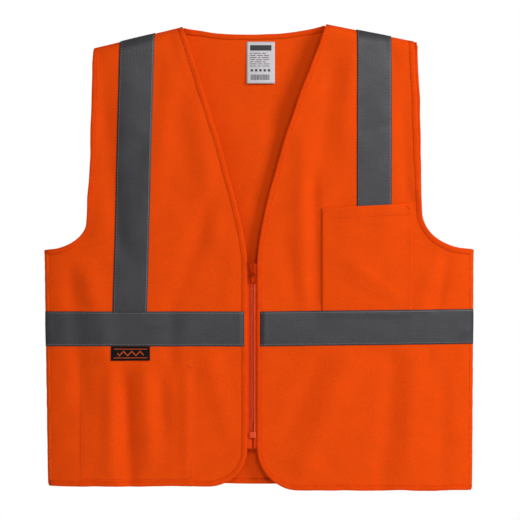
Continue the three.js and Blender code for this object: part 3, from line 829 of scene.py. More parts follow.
def chest_pocket_place(x, down, sizes):
    """A point on the chest pocket, down from its mouth. Above the mouth it has turned inside."""
    share = (x - POCKET_LOW.x) / (POCKET_HIGH.x - POCKET_LOW.x)
    mouth = POCKET_HIGH.z - POCKET_SLANT * (1 - share)
    z = mouth - down
    rise = 1 - max(down, 0) / (mouth - WAIST_TOP)
    puff = step(share, 0.02, 0.4) * step(1 - share, 0.02, 0.32)
    height = 1.9 + 3.6 * puff * (0.3 + 0.7 * max(rise, 0) ** 2)
    over_tape = step(x, LEFT.tape - 3, LEFT.tape + 3) * step(LEFT.tape + TAPE_WIDTH + 3 - x, 0, 6)
    height += 0.7 * over_tape * step(z, LEFT.tape_foot - 4, LEFT.tape_foot + 3)
    height += 0.5 * step(MOUTH_HEM + 1 - down, 0, 2) - 0.4 * math.exp(-((down - MOUTH_HEM) / 1.3) ** 2)
    height += 1.1 * ripple(x, down * 0.8, 42, 21.5) * step(down, 0, 40) * step(rise, 0, 0.2)
    height += sum(fold_height(x, z, *fold) for fold in POCKET_FOLDS)
    height = 1.4 + (height - 1.4) * step(z, WAIST_TOP + 1, WAIST_TOP + 14)  # flat on its way under the tape
    if down < 0:
        bend, radius = 1.6, 0.8  # the mouth's edge turns over within this height
        turned = min(-down / bend * math.pi, math.pi)
        height += radius * (math.cos(turned) - 1)
        z = mouth + radius * math.sin(turned) - max(-down - bend, 0)
    return skin(FRONT, x, z, sizes, height)


def chest_pocket(sizes, material):
    """A patch on the wearer's left front, its mouth turned in and its foot tucked under the waist tape."""
    tucked, inset, rows = 2, 0.4, 46
    low, high = POCKET_LOW.x + inset, POCKET_HIGH.x - inset
    deep = POCKET_HIGH.z - POCKET_SLANT - WAIST_TOP - LEFT.rise * 0.3 + tucked
    downs = [-MOUTH_ROLL, -7, -3, -1.6, -1.2, -0.8, -0.4, 0]
    downs += [deep * (i / rows) ** 1.05 for i in range(1, rows + 1)]

    def place(u, v):
        down = downs[round((1 - v) * (len(downs) - 1))]
        slant = POCKET_SLANT * u * max(down, 0) / deep
        return chest_pocket_place(low + (high - low) * u, down + slant, sizes)
    flat = ((high - low) * MM, (deep + MOUTH_ROLL) * MM)
    made = cloth_piece(
        "chest_pocket_cloth", grid(44, len(downs) - 1, place, flat), material, "knit_orange",
        sizes.cloth / MM, ["chest_pocket"], flat=flat, held="laid", rests_on=["left_front_cloth"])
    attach(made, "root")


def chest_pocket_seams(sizes):
    """Down both sides, along the mouth's hem, and a slanting tack across each top corner."""
    low, high = POCKET_LOW.x + POCKET_SEAM, POCKET_HIGH.x - POCKET_SEAM
    deep = POCKET_HIGH.z - POCKET_SLANT - WAIST_TOP - 2
    lines = [[(x, deep * i / 40) for i in range(41)] for x in (low, high)]
    lines.append([(low + (high - low) * i / 30, MOUTH_HEM) for i in range(31)])
    for x, way in ((low, 1), (high, -1)):
        for row in (0, TACK_ROW):
            lines.append([(x + way * TACK * i / 4, 1 + row + TACK * (1 - i / 4)) for i in range(5)])
    return [lifted([chest_pocket_place(x, down, sizes) for x, down in line], 0.12) for line in lines]


INNER_LOW, INNER_HIGH = corners("inner_pocket")


def inner_pocket(sizes, material):
    """A patch sewn inside the wearer's right front, open at the top."""
    wide, tall = INNER_HIGH.x - INNER_LOW.x, INNER_HIGH.z - INNER_LOW.z

    def place(u, v):
        x, z = INNER_LOW.x + wide * u, INNER_LOW.z + tall * v
        puff = step(u, 0.02, 0.3) * step(1 - u, 0.02, 0.3) * (0.25 + 0.75 * v * v) * step(v, 0, 0.15)
        point, normal = skin(FRONT, x, z, sizes, -0.8 - 3.2 * puff - 0.5 * ripple(x, z, 30, 31.5) * puff)
        return point, -normal
    flat = (wide * MM, tall * MM)
    made = cloth_piece(
        "inner_pocket_cloth", grid(40, 40, place, flat), material, "knit_orange", sizes.cloth / MM,
        ["inner_pocket"], flat=flat, held="hung", rests_on=["right_front_cloth"])
    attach(made, "root")


def inner_pocket_seams(sizes):
    """The pocket's stitching shows on the outside of the front: both sides, foot and two top tacks."""
    inset, height = 2, sizes.cloth / MM + 0.1
    left, right = INNER_LOW.x + inset, INNER_HIGH.x - inset
    foot, top = INNER_LOW.z + inset, INNER_HIGH.z
    lines = [[(left, top), (left, foot)], [(right, foot), (right, top)], [(left, foot), (right, foot)]]
    for x, way in ((left, 1), (right, -1)):
        lines += [[(x, top - 6 - row), (x + way * TACK, top - row)] for row in (0, TACK_ROW)]
    return [seam_line(FRONT, line, sizes, height) for line in lines]


# ---------------------------------------------------------------- labels

WOVEN_LOW, WOVEN_HIGH = corners("woven_label")
CARE_LOW, CARE_HIGH = corners("care_label")


def woven_label(sizes, material):
    """A short ribbon sewn on under the right waist tape, its lower edge standing a little away."""
    size, thick = WOVEN_HIGH - WOVEN_LOW, 0.5

    def place(u, v):
        x, z = WOVEN_LOW.x + size.x * u, WOVEN_LOW.z + size.z * v
        height = 1.75 + 0.5 * (1 - v) ** 2 + 0.15 * math.sin(math.pi * u * 3) * (1 - v)
        return skin(FRONT, x, z, sizes, height)
    flat = (size.x * MM, size.z * MM)
    made = cloth_piece("woven_label_ribbon", grid(32, 12, place, flat), material, "woven_label", thick,
                       ["woven_label"], flat=flat, held="hung", rests_on=["right_waist_band"])
    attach(made, "woven_label")


def care_label_place(u, v, sizes, over=0.0):
    """A point of the care label, which hangs from its sewn top edge inside the back."""
    size = CARE_HIGH - CARE_LOW
    x, z = CARE_LOW.x + size.x * u, CARE_LOW.z + size.z * v
    away = 1.0 + 2.2 * (1 - v) ** 1.6 + 0.8 * (1 - v) * math.sin(math.pi * u) + over
    point, normal = skin(BACK, x, z, sizes, -away)
    return point, -normal


def care_marks():
    """Plain printed marks, as (left, right, foot, top) in millimetres: a block, dashes, squares and bars."""
    marks = [(5, 36, 48, 56)]
    for row in range(7):
        foot, at = 43.6 - 3.1 * row, 4.5
        for dash in range(3):
            wide = 4 + 6 * abs(math.sin(2.3 * row + 1.7 * dash))
            marks.append((at, at + wide, foot, foot + 0.9))
            at += wide + 1.8
    marks += [(6 + 6.2 * i, 9.4 + 6.2 * i, 17.5, 20.9) for i in range(5)]
    at = 6.0
    for bar in range(17):
        wide = 0.5 + 0.6 * abs(math.sin(1.9 * bar))
        marks.append((at, at + wide, 5, 13))
        at += wide + 0.75
    return marks


def care_label(sizes, ribbon, ink):
    """The printed label inside the back of the neck."""
    size, thick, print_height = CARE_HIGH - CARE_LOW, 0.25, 0.12
    flat = (size.x * MM, size.z * MM)

    def mark(left, right, foot, top):
        return grid(3, 2, lambda u, v: care_label_place(
            (left + (right - left) * u) / size.x, (foot + (top - foot) * v) / size.z, sizes, print_height))
    marks = finish_piece("care_label_print", joined([mark(*place) for place in care_marks()]), ink)
    made = cloth_piece(
        "care_label_ribbon", grid(16, 24, lambda u, v: care_label_place(u, v, sizes), flat), ribbon,
        "care_label", thick, ["care_label"], flat=flat, held="hung", rests_on=["back_cloth"],
        with_pieces=[marks])
    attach(made, "care_label")
    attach(marks, "care_label")


# ---------------------------------------------------------------- the zip

ZIP_LOW, ZIP_HIGH = corners("right_zip_tape")
COIL_HIGH = corners("right_zip_coil")[1]
BOX_LOW, BOX_HIGH = corners("retainer_box")
PIN_LOW, PIN_HIGH = corners("insertion_pin")
SLIDER_LOW, SLIDER_HIGH = corners("zip_slider")
COIL_FRONT = -HALF_DEPTH - 1.5


def round_edges(bm, edges, radius, segments):
    bmesh.ops.bevel(bm, geom=edges, offset=radius, offset_type="OFFSET", segments=segments, profile=0.5,
                    affect="EDGES", material=-1, clamp_overlap=True)


def rounded_block(bm, low, high, radius, segments=3):
    """A block between two corners, its edges rounded."""
    low, high = Vector(low), Vector(high)
    place = Matrix.LocRotScale((low + high) / 2, None, high - low)
    made = bmesh.ops.create_cube(bm, size=1, matrix=place)
    round_edges(bm, list({e for v in made["verts"] for e in v.link_edges}), radius, segments)


def zip_tape(side, sizes, material):
    """The woven strip that the teeth are sewn to, behind the front edge."""
    near, far, thick = 0.9, 17, 0.5
    long = ZIP_HIGH.z - ZIP_LOW.z

    def place(u, v):
        x, z = ZIP_X + side.sign * (near + (far - near) * u), ZIP_LOW.z + long * v
        return skin(FRONT, x, z, sizes, -1.0 - 0.12 * ripple(x, z, 12, 3.9))
    flat = ((far - near) * MM, long * MM)
    made = cloth_piece(
        f"{side.name}_zip_ribbon", grid(8, 90, place, flat), material, "zip_tape", thick,
        [f"{side.name}_zip_tape"], flat=flat, held="hung", rests_on=[f"{side.name}_front_cloth"])
    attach(made, f"{side.name}_front")


def zip_coil(side, sizes, material):
    """The teeth of one side: loops of a coil that reach past the middle line into the other side's gaps."""
    pitch = sizes.tooth_pitch / MM
    foot = BOX_HIGH.z + 1.2 if side is RIGHT else PIN_HIGH.z + 0.6
    reach, root, wide, deep = -0.55, 3.7, 0.86, 1.0
    middle, head = (reach + root) / 2, 0.1
    z = foot + (pitch / 2 if side is LEFT else 0)
    loops, heads = [], []
    while z < COIL_HIGH.z:
        for made, at, size in ((loops, middle, ((root - reach) / 2, deep, wide / 2)),
                               (heads, head, (0.7, deep * 1.05, wide * 0.66))):
            place = Vector((ZIP_X + side.sign * at, COIL_FRONT + deep, z))
            made.append(Matrix.LocRotScale(place, None, Vector(size)))
        z += pitch
    cord, cord_x, half = bmesh.new(), ZIP_X + side.sign * 2.6, 0.7
    rounded_block(cord, (cord_x - half, COIL_FRONT + 0.95, foot - 0.6),
                  (cord_x + half, COIL_FRONT + 2.0, COIL_HIGH.z), 0.4)
    solid_piece(f"{side.name}_zip_teeth", joined([beads(loops, 10, 6), beads(heads, 8, 6), cord]), material,
                f"{side.name}_zip_coil", f"{side.name}_front")


def zip_ends(coil, enamel):
    """Top stops, retainer box and insertion pin."""
    for side in SIDES:
        bm = bmesh.new()
        rounded_block(bm, *corners(f"{side.name}_top_stop"), 0.5)
        solid_piece(f"{side.name}_end_stop", bm, enamel, f"{side.name}_top_stop",
                    f"{side.name}_front")
    bm = bmesh.new()
    rounded_block(bm, BOX_LOW, BOX_HIGH, 0.9, 4)
    for near, far in ((BOX_LOW.x + 1.2, ZIP_X - 0.5), (ZIP_X + 0.5, BOX_HIGH.x - 1.2)):
        rounded_block(bm, (near, BOX_LOW.y - 0.45, BOX_LOW.z + 1.6),
                      (far, BOX_LOW.y + 0.8, BOX_HIGH.z - 1.4), 0.4)
    solid_piece("zip_box", bm, coil, "retainer_box", "right_front")
    bm = bmesh.new()
    rounded_block(bm, PIN_LOW, PIN_HIGH, 0.5)
    solid_piece("zip_pin", bm, coil, "insertion_pin", "left_front")


def plate(bm, outline, near, far, radius):
    """A flat plate with an outline in (x, z) between two depths, its edges rounded."""
    verts = [bm.verts.new((x, far, z)) for x, z in outline]
    out = bmesh.ops.extrude_face_region(bm, geom=[bm.faces.new(verts)])
    moved = [g for g in out["geom"] if isinstance(g, bmesh.types.BMVert)]
    bmesh.ops.translate(bm, verts=moved, vec=(0, near - far, 0))
    round_edges(bm, list({e for v in verts + moved for e in v.link_edges}), radius, 3)
    bmesh.ops.recalc_face_normals(bm, faces=bm.faces)


def shield(middle_x, foot, head, foot_half, head_half, waist, steps=8):
    """The slider's outline: wide shoulders at its head, drawn in to its foot."""
    body = 0.82  # share of the height below the rounded head
    right = []
    for i in range(steps + 1):
        t = i / steps
        half = foot_half + (head_half - foot_half) * step(t, 0.1, waist)
        right.append((middle_x + half, foot + (head - foot) * t * body))
    for i in range(1, steps + 1):
        t = i / steps * math.pi / 2
        z = head - (head - foot) * (1 - body) * (1 - math.sin(t))
        right.append((middle_x + head_half * math.cos(t) ** 0.7, z))
    return right + [(2 * middle_x - x, z) for x, z in reversed(right[:-1])]


def zip_slider(material):
    """Front and rear plates, side flanges, post and bail."""
    bm = bmesh.new()
    head, foot = SLIDER_HIGH.z, SLIDER_LOW.z
    half = (SLIDER_HIGH.x - SLIDER_LOW.x) / 2
    front = -HALF_DEPTH - 2.9
    outline = shield(ZIP_X, foot, head, half * 0.62, half + 0.1, 0.75)
    plate(bm, outline, front, front + 1.2, 0.4)
    plate(bm, outline, -HALF_DEPTH + 1.8, -HALF_DEPTH + 2.9, 0.4)
    for (near, far), (ahead, behind), (low, high), radius in (
            ((0.1 - half, -4.0), (0.4, 3.1), (1.4, 4.5), 0.35),  # the two flanges
            ((4.0, half - 0.1), (0.4, 3.1), (1.4, 4.5), 0.35),
            ((-0.7, 0.7), (0.5, 5.1), (head - foot - 5, 0.8), 0.25),  # the post between the plates
            ((-1.5, 1.5), (-0.35, 0.4), (1.6, 7.2), 0.3)):  # a raised rib down the front plate
        rounded_block(bm, (ZIP_X + near, front + ahead, foot + low),
                      (ZIP_X + far, front + behind, head - high), radius)
    axis = Vector((ZIP_X, -HALF_DEPTH - 4.1, head - 4))
    ring = bmesh.ops.create_circle(bm, cap_ends=False, segments=10, radius=0.5,
                                   matrix=Matrix.Translation(axis + Vector((0, 0, 1.45))))
    edges = list({e for v in ring["verts"] for e in v.link_edges})
    bmesh.ops.spin(bm, geom=ring["verts"] + edges, cent=axis, axis=(1, 0, 0), angle=2 * math.pi, steps=24,
                   use_merge=True, use_duplicate=False)
    bail = [v for v in bm.verts if v.co.y < front - 0.5]
    bmesh.ops.scale(bm, vec=(2.0, 1, 1), verts=bail, space=Matrix.Translation((-ZIP_X, 0, 0)))
    bmesh.ops.recalc_face_normals(bm, faces=bm.faces)
    solid_piece("slider_body", bm, material, "zip_slider", "zip_slider")


def pull_tab(material):
    """A turned-up tab: a bar in the bail, two arms, and a blade with a round eye near its end."""
    joint = next(j for j in frame["joints"] if j["child"] == "pull_tab")
    pivot = Vector(joint["pos_m"]) / MM
    across = Vector(joint["axis"])
    lean = math.atan2(across.z, across.x)
    long, near, far, thick, eye, eye_z = 21, 3.3, 4.0, 1.1, 1.5, 16.6
    blade_z, blade_foot, bar = 12, 9.4, 0.55
    bm = bmesh.new()
    steps = 32
    blade, hole = [], []
    for i in range(steps):
        turn = 2 * math.pi * i / steps
        wide = near + (far - near) * step(math.sin(turn), -0.9, 0.5)
        reach = long - blade_z if math.sin(turn) > 0 else blade_foot
        round_off = math.copysign(abs(math.cos(turn)) ** 0.35, math.cos(turn))
        blade.append(bm.verts.new((wide * round_off, thick / 2, blade_z + reach * math.sin(turn))))
        hole.append(bm.verts.new((eye * math.cos(turn), thick / 2, eye_z + eye * math.sin(turn))))
    loops = [bm.edges.new((ring[i], ring[(i + 1) % steps])) for ring in (blade, hole) for i in range(steps)]
    faces = bmesh.ops.bridge_loops(bm, edges=loops)["faces"]
    far_side = bmesh.ops.extrude_face_region(bm, geom=faces)["geom"]
    moved = [g for g in far_side if isinstance(g, bmesh.types.BMVert)]
    bmesh.ops.translate(bm, verts=moved, vec=(0, -thick, 0))
    round_edges(bm, [e for e in bm.edges if e.is_manifold and e.calc_face_angle() > 1], 0.28, 3)
    for sign in (-1, 1):
        middle = sign * (near + 1.6) / 2
        rounded_block(bm, (middle - 0.75, -thick / 2, -0.6), (middle + 0.75, thick / 2, 4.6), 0.25)
    rounded_block(bm, (-near, -bar, -bar), (near, bar, bar), 0.3)
    bmesh.ops.recalc_face_normals(bm, faces=bm.faces)
    turn = Matrix.Rotation(-lean, 4, "Y")
    bmesh.ops.transform(bm, matrix=Matrix.Translation(pivot) @ turn, verts=bm.verts)
    solid_piece("pull_tab_blade", bm, material, "pull_tab", "pull_tab")


# ---------------------------------------------------------------- finishes

def node(tree, kind, inputs=None, **settings):
    """Adds a node with its settings. An input takes a value, or another node's output."""
    made = tree.nodes.new(kind)
    for name, value in settings.items():
        setattr(made, name, value)
    for name, value in (inputs or {}).items():
        if isinstance(value, bpy.types.NodeSocket):
            tree.links.new(value, made.inputs[name])
        else:
            made.inputs[name].default_value = value
    return made


def finish_of(make):
    """The finish that make builds, built the first time that a piece asks for it."""
    name = make.__name__
    material = bpy.data.materials.get(name)
    if not material:
        material = bpy.data.materials.new(name)
        material.use_nodes = True
        material.node_tree.nodes.clear()
        shader = make(material.node_tree, bpy.context.scene.vest_colours)
        node(material.node_tree, "ShaderNodeOutputMaterial", {"Surface": shader.outputs["BSDF"]})
    return material


def on_cloth(tree):
    """Millimetres across and along the piece's own cloth."""
    place = node(tree, "ShaderNodeUVMap", uv_map="UVMap").outputs["UV"]
    return node(tree, "ShaderNodeMapping", {"Vector": place, "Scale": [1 / MM] * 3}).outputs[0]


def in_space(tree):
    """Millimetres in the vest's frame."""
    place = node(tree, "ShaderNodeTexCoord").outputs["Object"]
    return node(tree, "ShaderNodeMapping", {"Vector": place, "Scale": [1 / MM] * 3}).outputs[0]


def mottled(tree, where, base, size, amount):
    """The colour in darker and lighter patches of a size in millimetres."""
    patches = node(tree, "ShaderNodeTexNoise", {"Vector": where, "Scale": 1 / size, "Detail": 3.0})
    value = node(tree, "ShaderNodeMapRange", {
        "Value": patches.outputs["Fac"], "From Min": 0.3, "From Max": 0.7, "To Min": 1 - amount,
        "To Max": 1 + amount}).outputs["Result"]
    return node(tree, "ShaderNodeHueSaturation", {"Color": base, "Value": value}).outputs["Color"]


def relief(tree, where, depth, strength, ribs=(), grain=None, raised=None):
    """The bump of ribs that cross each other, with a grain or another height added, depth millimetres deep.

    A set of ribs is the direction across them, their pitch in millimetres and how much they waver. The
    grain is its size in millimetres."""
    period = math.tau / 20  # the wave texture's own, at scale 1
    height = None
    for direction, pitch, waver in ribs:
        wave = node(tree, "ShaderNodeTexWave", {
            "Vector": where, "Scale": period / pitch, "Distortion": waver, "Detail": 1.0,
            "Detail Scale": 1.0},
            wave_type="BANDS", bands_direction=direction, wave_profile="SIN").outputs["Fac"]
        if height is not None:
            wave = node(tree, "ShaderNodeMath", {0: height, 1: wave}, operation="MULTIPLY").outputs[0]
        height = wave
    if grain:
        raised = node(tree, "ShaderNodeTexNoise", {
            "Vector": where, "Scale": 1 / grain, "Detail": 2.0}).outputs["Fac"]
    if height is None:
        height = raised
    elif raised is not None:
        height = node(tree, "ShaderNodeMath", {0: height, 1: raised}, operation="ADD").outputs[0]
    return node(tree, "ShaderNodeBump", {
        "Height": height, "Strength": strength, "Distance": depth * MM}).outputs[0]


def knit_polyester(tree, colours):
    # Warp-knit polyester dyed fluorescent orange: matt, softly furred, with fine wales down the cloth.
    # Real wales are 1.1 mm apart, too fine to show, so they are drawn at 2.6 mm.
    where = on_cloth(tree)
    tone = mottled(tree, where, mottled(tree, where, tuple(colours.knit), 34, 0.04), 3.2, 0.045)
    return node(tree, "ShaderNodeBsdfPrincipled", {
        "Base Color": tone, "Roughness": 0.88, "Sheen Weight": 0.03, "Sheen Roughness": 0.5,
        "Sheen Tint": tuple(colours.knit), "Specular IOR Level": 0.08,
        "Normal": relief(tree, where, 0.22, 0.34, ribs=(("X", 2.6, 0.6), ("Y", 3.4, 0.8)), grain=7)})


def binding_ribbon(tree, colours):
    # Woven polyester ribbon folded over the edges: smoother and a little deeper than the knit, ribbed across.
    # Its ribs are 0.6 mm apart on the real one, and are drawn at 2.2 mm so that they show.
    where = on_cloth(tree)
    tone = mottled(tree, where, mottled(tree, where, tuple(colours.binding), 18, 0.06), 3, 0.06)
    return node(tree, "ShaderNodeBsdfPrincipled", {
        "Base Color": tone, "Roughness": 0.82, "Sheen Weight": 0.02, "Sheen Tint": tuple(colours.binding),
        "Specular IOR Level": 0.06, "Normal": relief(tree, where, 0.4, 0.5, ribs=[("Y", 2.2, 0.5)], grain=6)})


def glass_bead_tape(tree, colours):
    # Retroreflective tape: a film of glass beads on cloth, grey with a soft metallic shine and a fine grain.
    # The beads are 0.06 mm across and the backing's weave 0.5 mm, and both are drawn at 1.6 to 3 mm.
    where = on_cloth(tree)
    film = node(tree, "ShaderNodeTexNoise", {"Vector": where, "Scale": 1 / 1.6, "Detail": 3.0}).outputs["Fac"]
    gloss = node(tree, "ShaderNodeMapRange", {
        "Value": film, "From Min": 0.3, "From Max": 0.7, "To Min": 0.42, "To Max": 0.6}).outputs["Result"]
    tone = mottled(tree, where, mottled(tree, where, tuple(colours.tape), 40, 0.12), 2.6, 0.1)
    return node(tree, "ShaderNodeBsdfPrincipled", {
        "Base Color": tone, "Metallic": 0.35, "Roughness": gloss,
        "Normal": relief(tree, where, 0.22, 0.5, ribs=(("X", 2.0, 0), ("Y", 2.0, 0)), raised=film)})


def twisted_thread(tree, base):
    # Three-ply polyester sewing thread: slightly glossy, with painted shade between its plies, which are
    # drawn at 1 mm as darker and lighter patches.
    where = in_space(tree)
    # The 1 mm patches of the base colour are painted shade between the plies.
    return node(tree, "ShaderNodeBsdfPrincipled", {
        "Base Color": mottled(tree, where, base, 1.0, 0.15), "Roughness": 0.6, "Specular IOR Level": 0.2,
        "Normal": relief(tree, where, 0.1, 0.5, grain=0.8)})


def orange_thread(tree, colours):
    return twisted_thread(tree, tuple(colours.orange_thread))


def grey_thread(tree, colours):
    return twisted_thread(tree, tuple(colours.grey_thread))


def woven_zip_tape(tree, colours):
    # The zip's woven carrier: tight, flat and slightly shiny, with warp ribs 0.7 mm apart, drawn at 1.6 mm.
    where = on_cloth(tree)
    return node(tree, "ShaderNodeBsdfPrincipled", {
        "Base Color": mottled(tree, where, tuple(colours.zip_tape), 3, 0.07), "Roughness": 0.8,
        "Specular IOR Level": 0.12,
        "Normal": relief(tree, where, 0.25, 0.6, ribs=(("X", 1.6, 0), ("Y", 2.4, 0)))})


def moulded_nylon(tree, colours):
    # Nylon coil and injection-moulded ends: smooth and waxy, lit slightly from within, with faint flow marks.
    where = in_space(tree)
    return node(tree, "ShaderNodeBsdfPrincipled", {
        "Base Color": mottled(tree, where, tuple(colours.coil), 2.4, 0.08), "Roughness": 0.42, "IOR": 1.53,
        "Specular IOR Level": 0.3, "Subsurface Weight": 0.1, "Subsurface Scale": 0.6 * MM,
        "Normal": relief(tree, where, 0.05, 0.4, grain=1.4)})


def enamelled_zinc(tree, colours):
    # Die-cast slider and tab, coated with baked enamel: glossy over slight casting waves, with a painted
    # highlight that lightens the colour on sharp edges.
    where = in_space(tree)
    edges = node(tree, "ShaderNodeNewGeometry").outputs["Pointiness"]
    # Painted highlight: the enamel's colour is made up to half again as light where the mesh is sharpest.
    edge_highlight = node(tree, "ShaderNodeMapRange", {
        "Value": edges, "From Min": 0.52, "From Max": 0.62, "To Min": 1.0, "To Max": 1.5}).outputs["Result"]
    tone = node(tree, "ShaderNodeHueSaturation", {
        "Color": mottled(tree, where, tuple(colours.enamel), 3, 0.1), "Value": edge_highlight}).outputs["Color"]
    return node(tree, "ShaderNodeBsdfPrincipled", {
        "Base Color": tone, "Roughness": 0.34, "Specular IOR Level": 0.3,
        "Specular Tint": tuple(colours.enamel), "Normal": relief(tree, where, 0.06, 0.4, grain=2.2)})


def satin_ribbon(tree, colours):
    # Printed care label: a white satin ribbon, thin and faintly lustrous along its warp. Its ribs are 0.3 mm
    # apart, and are drawn at 1.8 mm.
    where = on_cloth(tree)
    return node(tree, "ShaderNodeBsdfPrincipled", {
        "Base Color": mottled(tree, where, tuple(colours.care), 6, 0.05), "Roughness": 0.42,
        "Sheen Weight": 0.2, "Normal": relief(tree, where, 0.12, 0.4, ribs=[("Y", 1.8, 0.4)])})


def printed_ink(tree, colours):
    # Thermal-transfer ink: thin, matt and broken up by the ribbon's weave.
    where = in_space(tree)
    return node(tree, "ShaderNodeBsdfPrincipled", {
        "Base Color": mottled(tree, where, tuple(colours.print), 1.6, 0.35), "Roughness": 0.6,
        "Normal": relief(tree, where, 0.05, 0.4, grain=1.2)})


def woven_damask(tree, colours):
    # Black damask label with a plain zigzag in rust thread between two narrow lines, ribbed across.
    where = on_cloth(tree)
    parts = node(tree, "ShaderNodeSeparateXYZ", {"Vector": where}).outputs
    wide, tall = WOVEN_HIGH.x - WOVEN_LOW.x, WOVEN_HIGH.z - WOVEN_LOW.z
    zigzag = node(tree, "ShaderNodeMath", {0: parts["X"], 1: 6.0}, operation="PINGPONG").outputs[0]
    up = node(tree, "ShaderNodeMath", {0: parts["Y"], 1: tall / 2 - 3}, operation="SUBTRACT").outputs[0]
    on_zigzag = node(tree, "ShaderNodeMath", {0: up, 1: zigzag, 2: 1.3}, operation="COMPARE").outputs[0]
    # Inside the zigzag's ends, the lines' ends, and the outer and inner edges of the two lines.
    zigzag_ends, line_ends, line_outer, line_inner = (
        node(tree, "ShaderNodeMath", {0: parts[axis], 1: size / 2, 2: size / 2 - margin},
             operation="COMPARE").outputs[0]
        for axis, size, margin in (("X", wide, 9), ("X", wide, 4), ("Y", tall, 3.2), ("Y", tall, 4.4)))
    zigzag = node(tree, "ShaderNodeMath", {0: on_zigzag, 1: zigzag_ends}, operation="MULTIPLY").outputs[0]
    lines = node(tree, "ShaderNodeMath", {0: line_outer, 1: line_inner}, operation="SUBTRACT").outputs[0]
    lines = node(tree, "ShaderNodeMath", {0: lines, 1: line_ends}, operation="MULTIPLY").outputs[0]
    motif = node(tree, "ShaderNodeMath", {0: zigzag, 1: lines}, operation="MAXIMUM").outputs[0]
    tone = node(tree, "ShaderNodeMix", {
        "Factor": motif, "A": tuple(colours.woven), "B": tuple(colours.motif)},
        data_type="RGBA").outputs["Result"]
    raised = node(tree, "ShaderNodeMath", {0: motif, 1: 0.6}, operation="MULTIPLY").outputs[0]
    return node(tree, "ShaderNodeBsdfPrincipled", {
        "Base Color": mottled(tree, where, tone, 2.2, 0.2), "Roughness": 0.75, "Specular IOR Level": 0.15,
        "Normal": relief(tree, where, 0.3, 0.5, ribs=[("Y", 1.5, 0)], raised=raised)})


def pale_paint(tree, colours):
    # The studio floor: matt off-white paint with a faint roller texture.
    where = in_space(tree)
    return node(tree, "ShaderNodeBsdfPrincipled", {
        "Base Color": mottled(tree, where, linear("#F2F1EF"), 120, 0.02), "Roughness": 0.75,
        "Normal": relief(tree, where, 0.2, 0.3, grain=9)})


# ---------------------------------------------------------------- stage

VIEW_MIDDLE = (1.4, -339.8)  # what the middle of the view looks at, as (x, z)
VIEW_WIDTH = 748.8  # width of the view at the vest
VIEW_AWAY = 2500
SENSOR = 36
FLOOR_DROP, FLOOR_RADIUS = 330, 1100  # the drop is from the hem
ROOM_LIGHT, BACKDROP_LIGHT = 0.23, 1.0
LIGHTS = {  # place and size in metres, and power in watts
    "key": ((1.8, -1.4, 0.7), 0.8, 32),
    "front": ((0.5, -2.6, 0.7), 0.9, 25),
    "rear": ((-1.6, 2.6, 0.8), 1.6, 60),
}


def camera():
    data = bpy.data.cameras.new("view")
    data.sensor_width = SENSOR
    data.lens = SENSOR * VIEW_AWAY / VIEW_WIDTH
    made = bpy.data.objects.new("view", data)
    made.location = (VIEW_MIDDLE[0] * MM, -(VIEW_AWAY + HALF_DEPTH) * MM, VIEW_MIDDLE[1] * MM)
    made.rotation_euler = (math.pi / 2, 0, 0)
    bpy.context.scene.collection.objects.link(made)
    bpy.context.scene.camera = made


def soft_light(name, place, size, power):
    """A square soft box that faces the vest's middle."""
    data = bpy.data.lights.new(name, "AREA")
    data.size = size
    data.energy = power
    made = bpy.data.objects.new(name, data)
    made.location = place
    aim = Vector((0, 0, VIEW_MIDDLE[1] * MM)) - Vector(place)
    made.rotation_euler = aim.to_track_quat("-Z", "Y").to_euler()
    made.visible_camera = False
    bpy.context.scene.collection.objects.link(made)


def room():
    """An even white room: its walls light the vest softly, and look brighter than they light."""
    world = bpy.data.worlds.new("room")
    bpy.context.scene.world = world
    world.use_nodes = True
    tree = world.node_tree
    tree.nodes.clear()
    seen = node(tree, "ShaderNodeLightPath").outputs["Is Camera Ray"]
    strength = node(tree, "ShaderNodeMapRange", {
        "Value": seen, "To Min": ROOM_LIGHT, "To Max": BACKDROP_LIGHT}).outputs["Result"]
    light = node(tree, "ShaderNodeBackground", {"Color": (1, 1, 1, 1), "Strength": strength})
    node(tree, "ShaderNodeOutputWorld", {"Surface": light.outputs["Background"]})


def floor():
    bm = bmesh.new()
    bmesh.ops.create_circle(bm, cap_ends=True, segments=96, radius=FLOOR_RADIUS)
    bmesh.ops.translate(bm, verts=bm.verts, vec=(0, 0, LEFT.hem - FLOOR_DROP))
    bmesh.ops.scale(bm, vec=(MM, MM, MM), verts=bm.verts)
    mesh = bpy.data.meshes.new("floor")
    bm.to_mesh(mesh)
    bm.free()
    mesh.materials.append(finish_of(pale_paint))
    made = bpy.data.objects.new("floor", mesh)
    bpy.context.scene.collection.objects.link(made)


# ---------------------------------------------------------------- operators and panel

def sewn_on_root(name, seams, sizes, finish):
    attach(stitching(name, seams, sizes, finish_of(finish)), "root")


def sewn_on_front(name, seams, sizes, finish):
    blend_over_fold(stitching(name, seams, sizes, finish_of(finish)))


class VEST_OT_stage(bpy.types.Operator):
    """Sets up the camera, the lights, the white room and the floor"""
    bl_idname = "vest.stage"
    bl_label = "Stage"

    def execute(self, context):
        camera()
        room()
        for name, (place, size, power) in LIGHTS.items():
            soft_light(name, place, size, power)
        floor()
        context.scene.view_settings.view_transform = "Standard"
        return {"FINISHED"}


class VEST_OT_cloth(bpy.types.Operator):
    """Makes the two fronts and the back"""
    bl_idname = "vest.cloth"
    bl_label = "Fronts and Back"

    def execute(self, context):
        sizes = context.scene.vest_sizes
        back_cloth(sizes, finish_of(knit_polyester))
        for side in SIDES:
            front_cloth(side, sizes, finish_of(knit_polyester))
        return {"FINISHED"}


class VEST_OT_seams(bpy.types.Operator):
    """Makes the rolled seams of the shoulders and sides"""
    bl_idname = "vest.seams"
    bl_label = "Seams"

    def execute(self, context):
        for side in SIDES:
            shoulder_seam(side, context.scene.vest_sizes, finish_of(knit_polyester))
            side_seam(side, context.scene.vest_sizes, finish_of(knit_polyester))
        return {"FINISHED"}


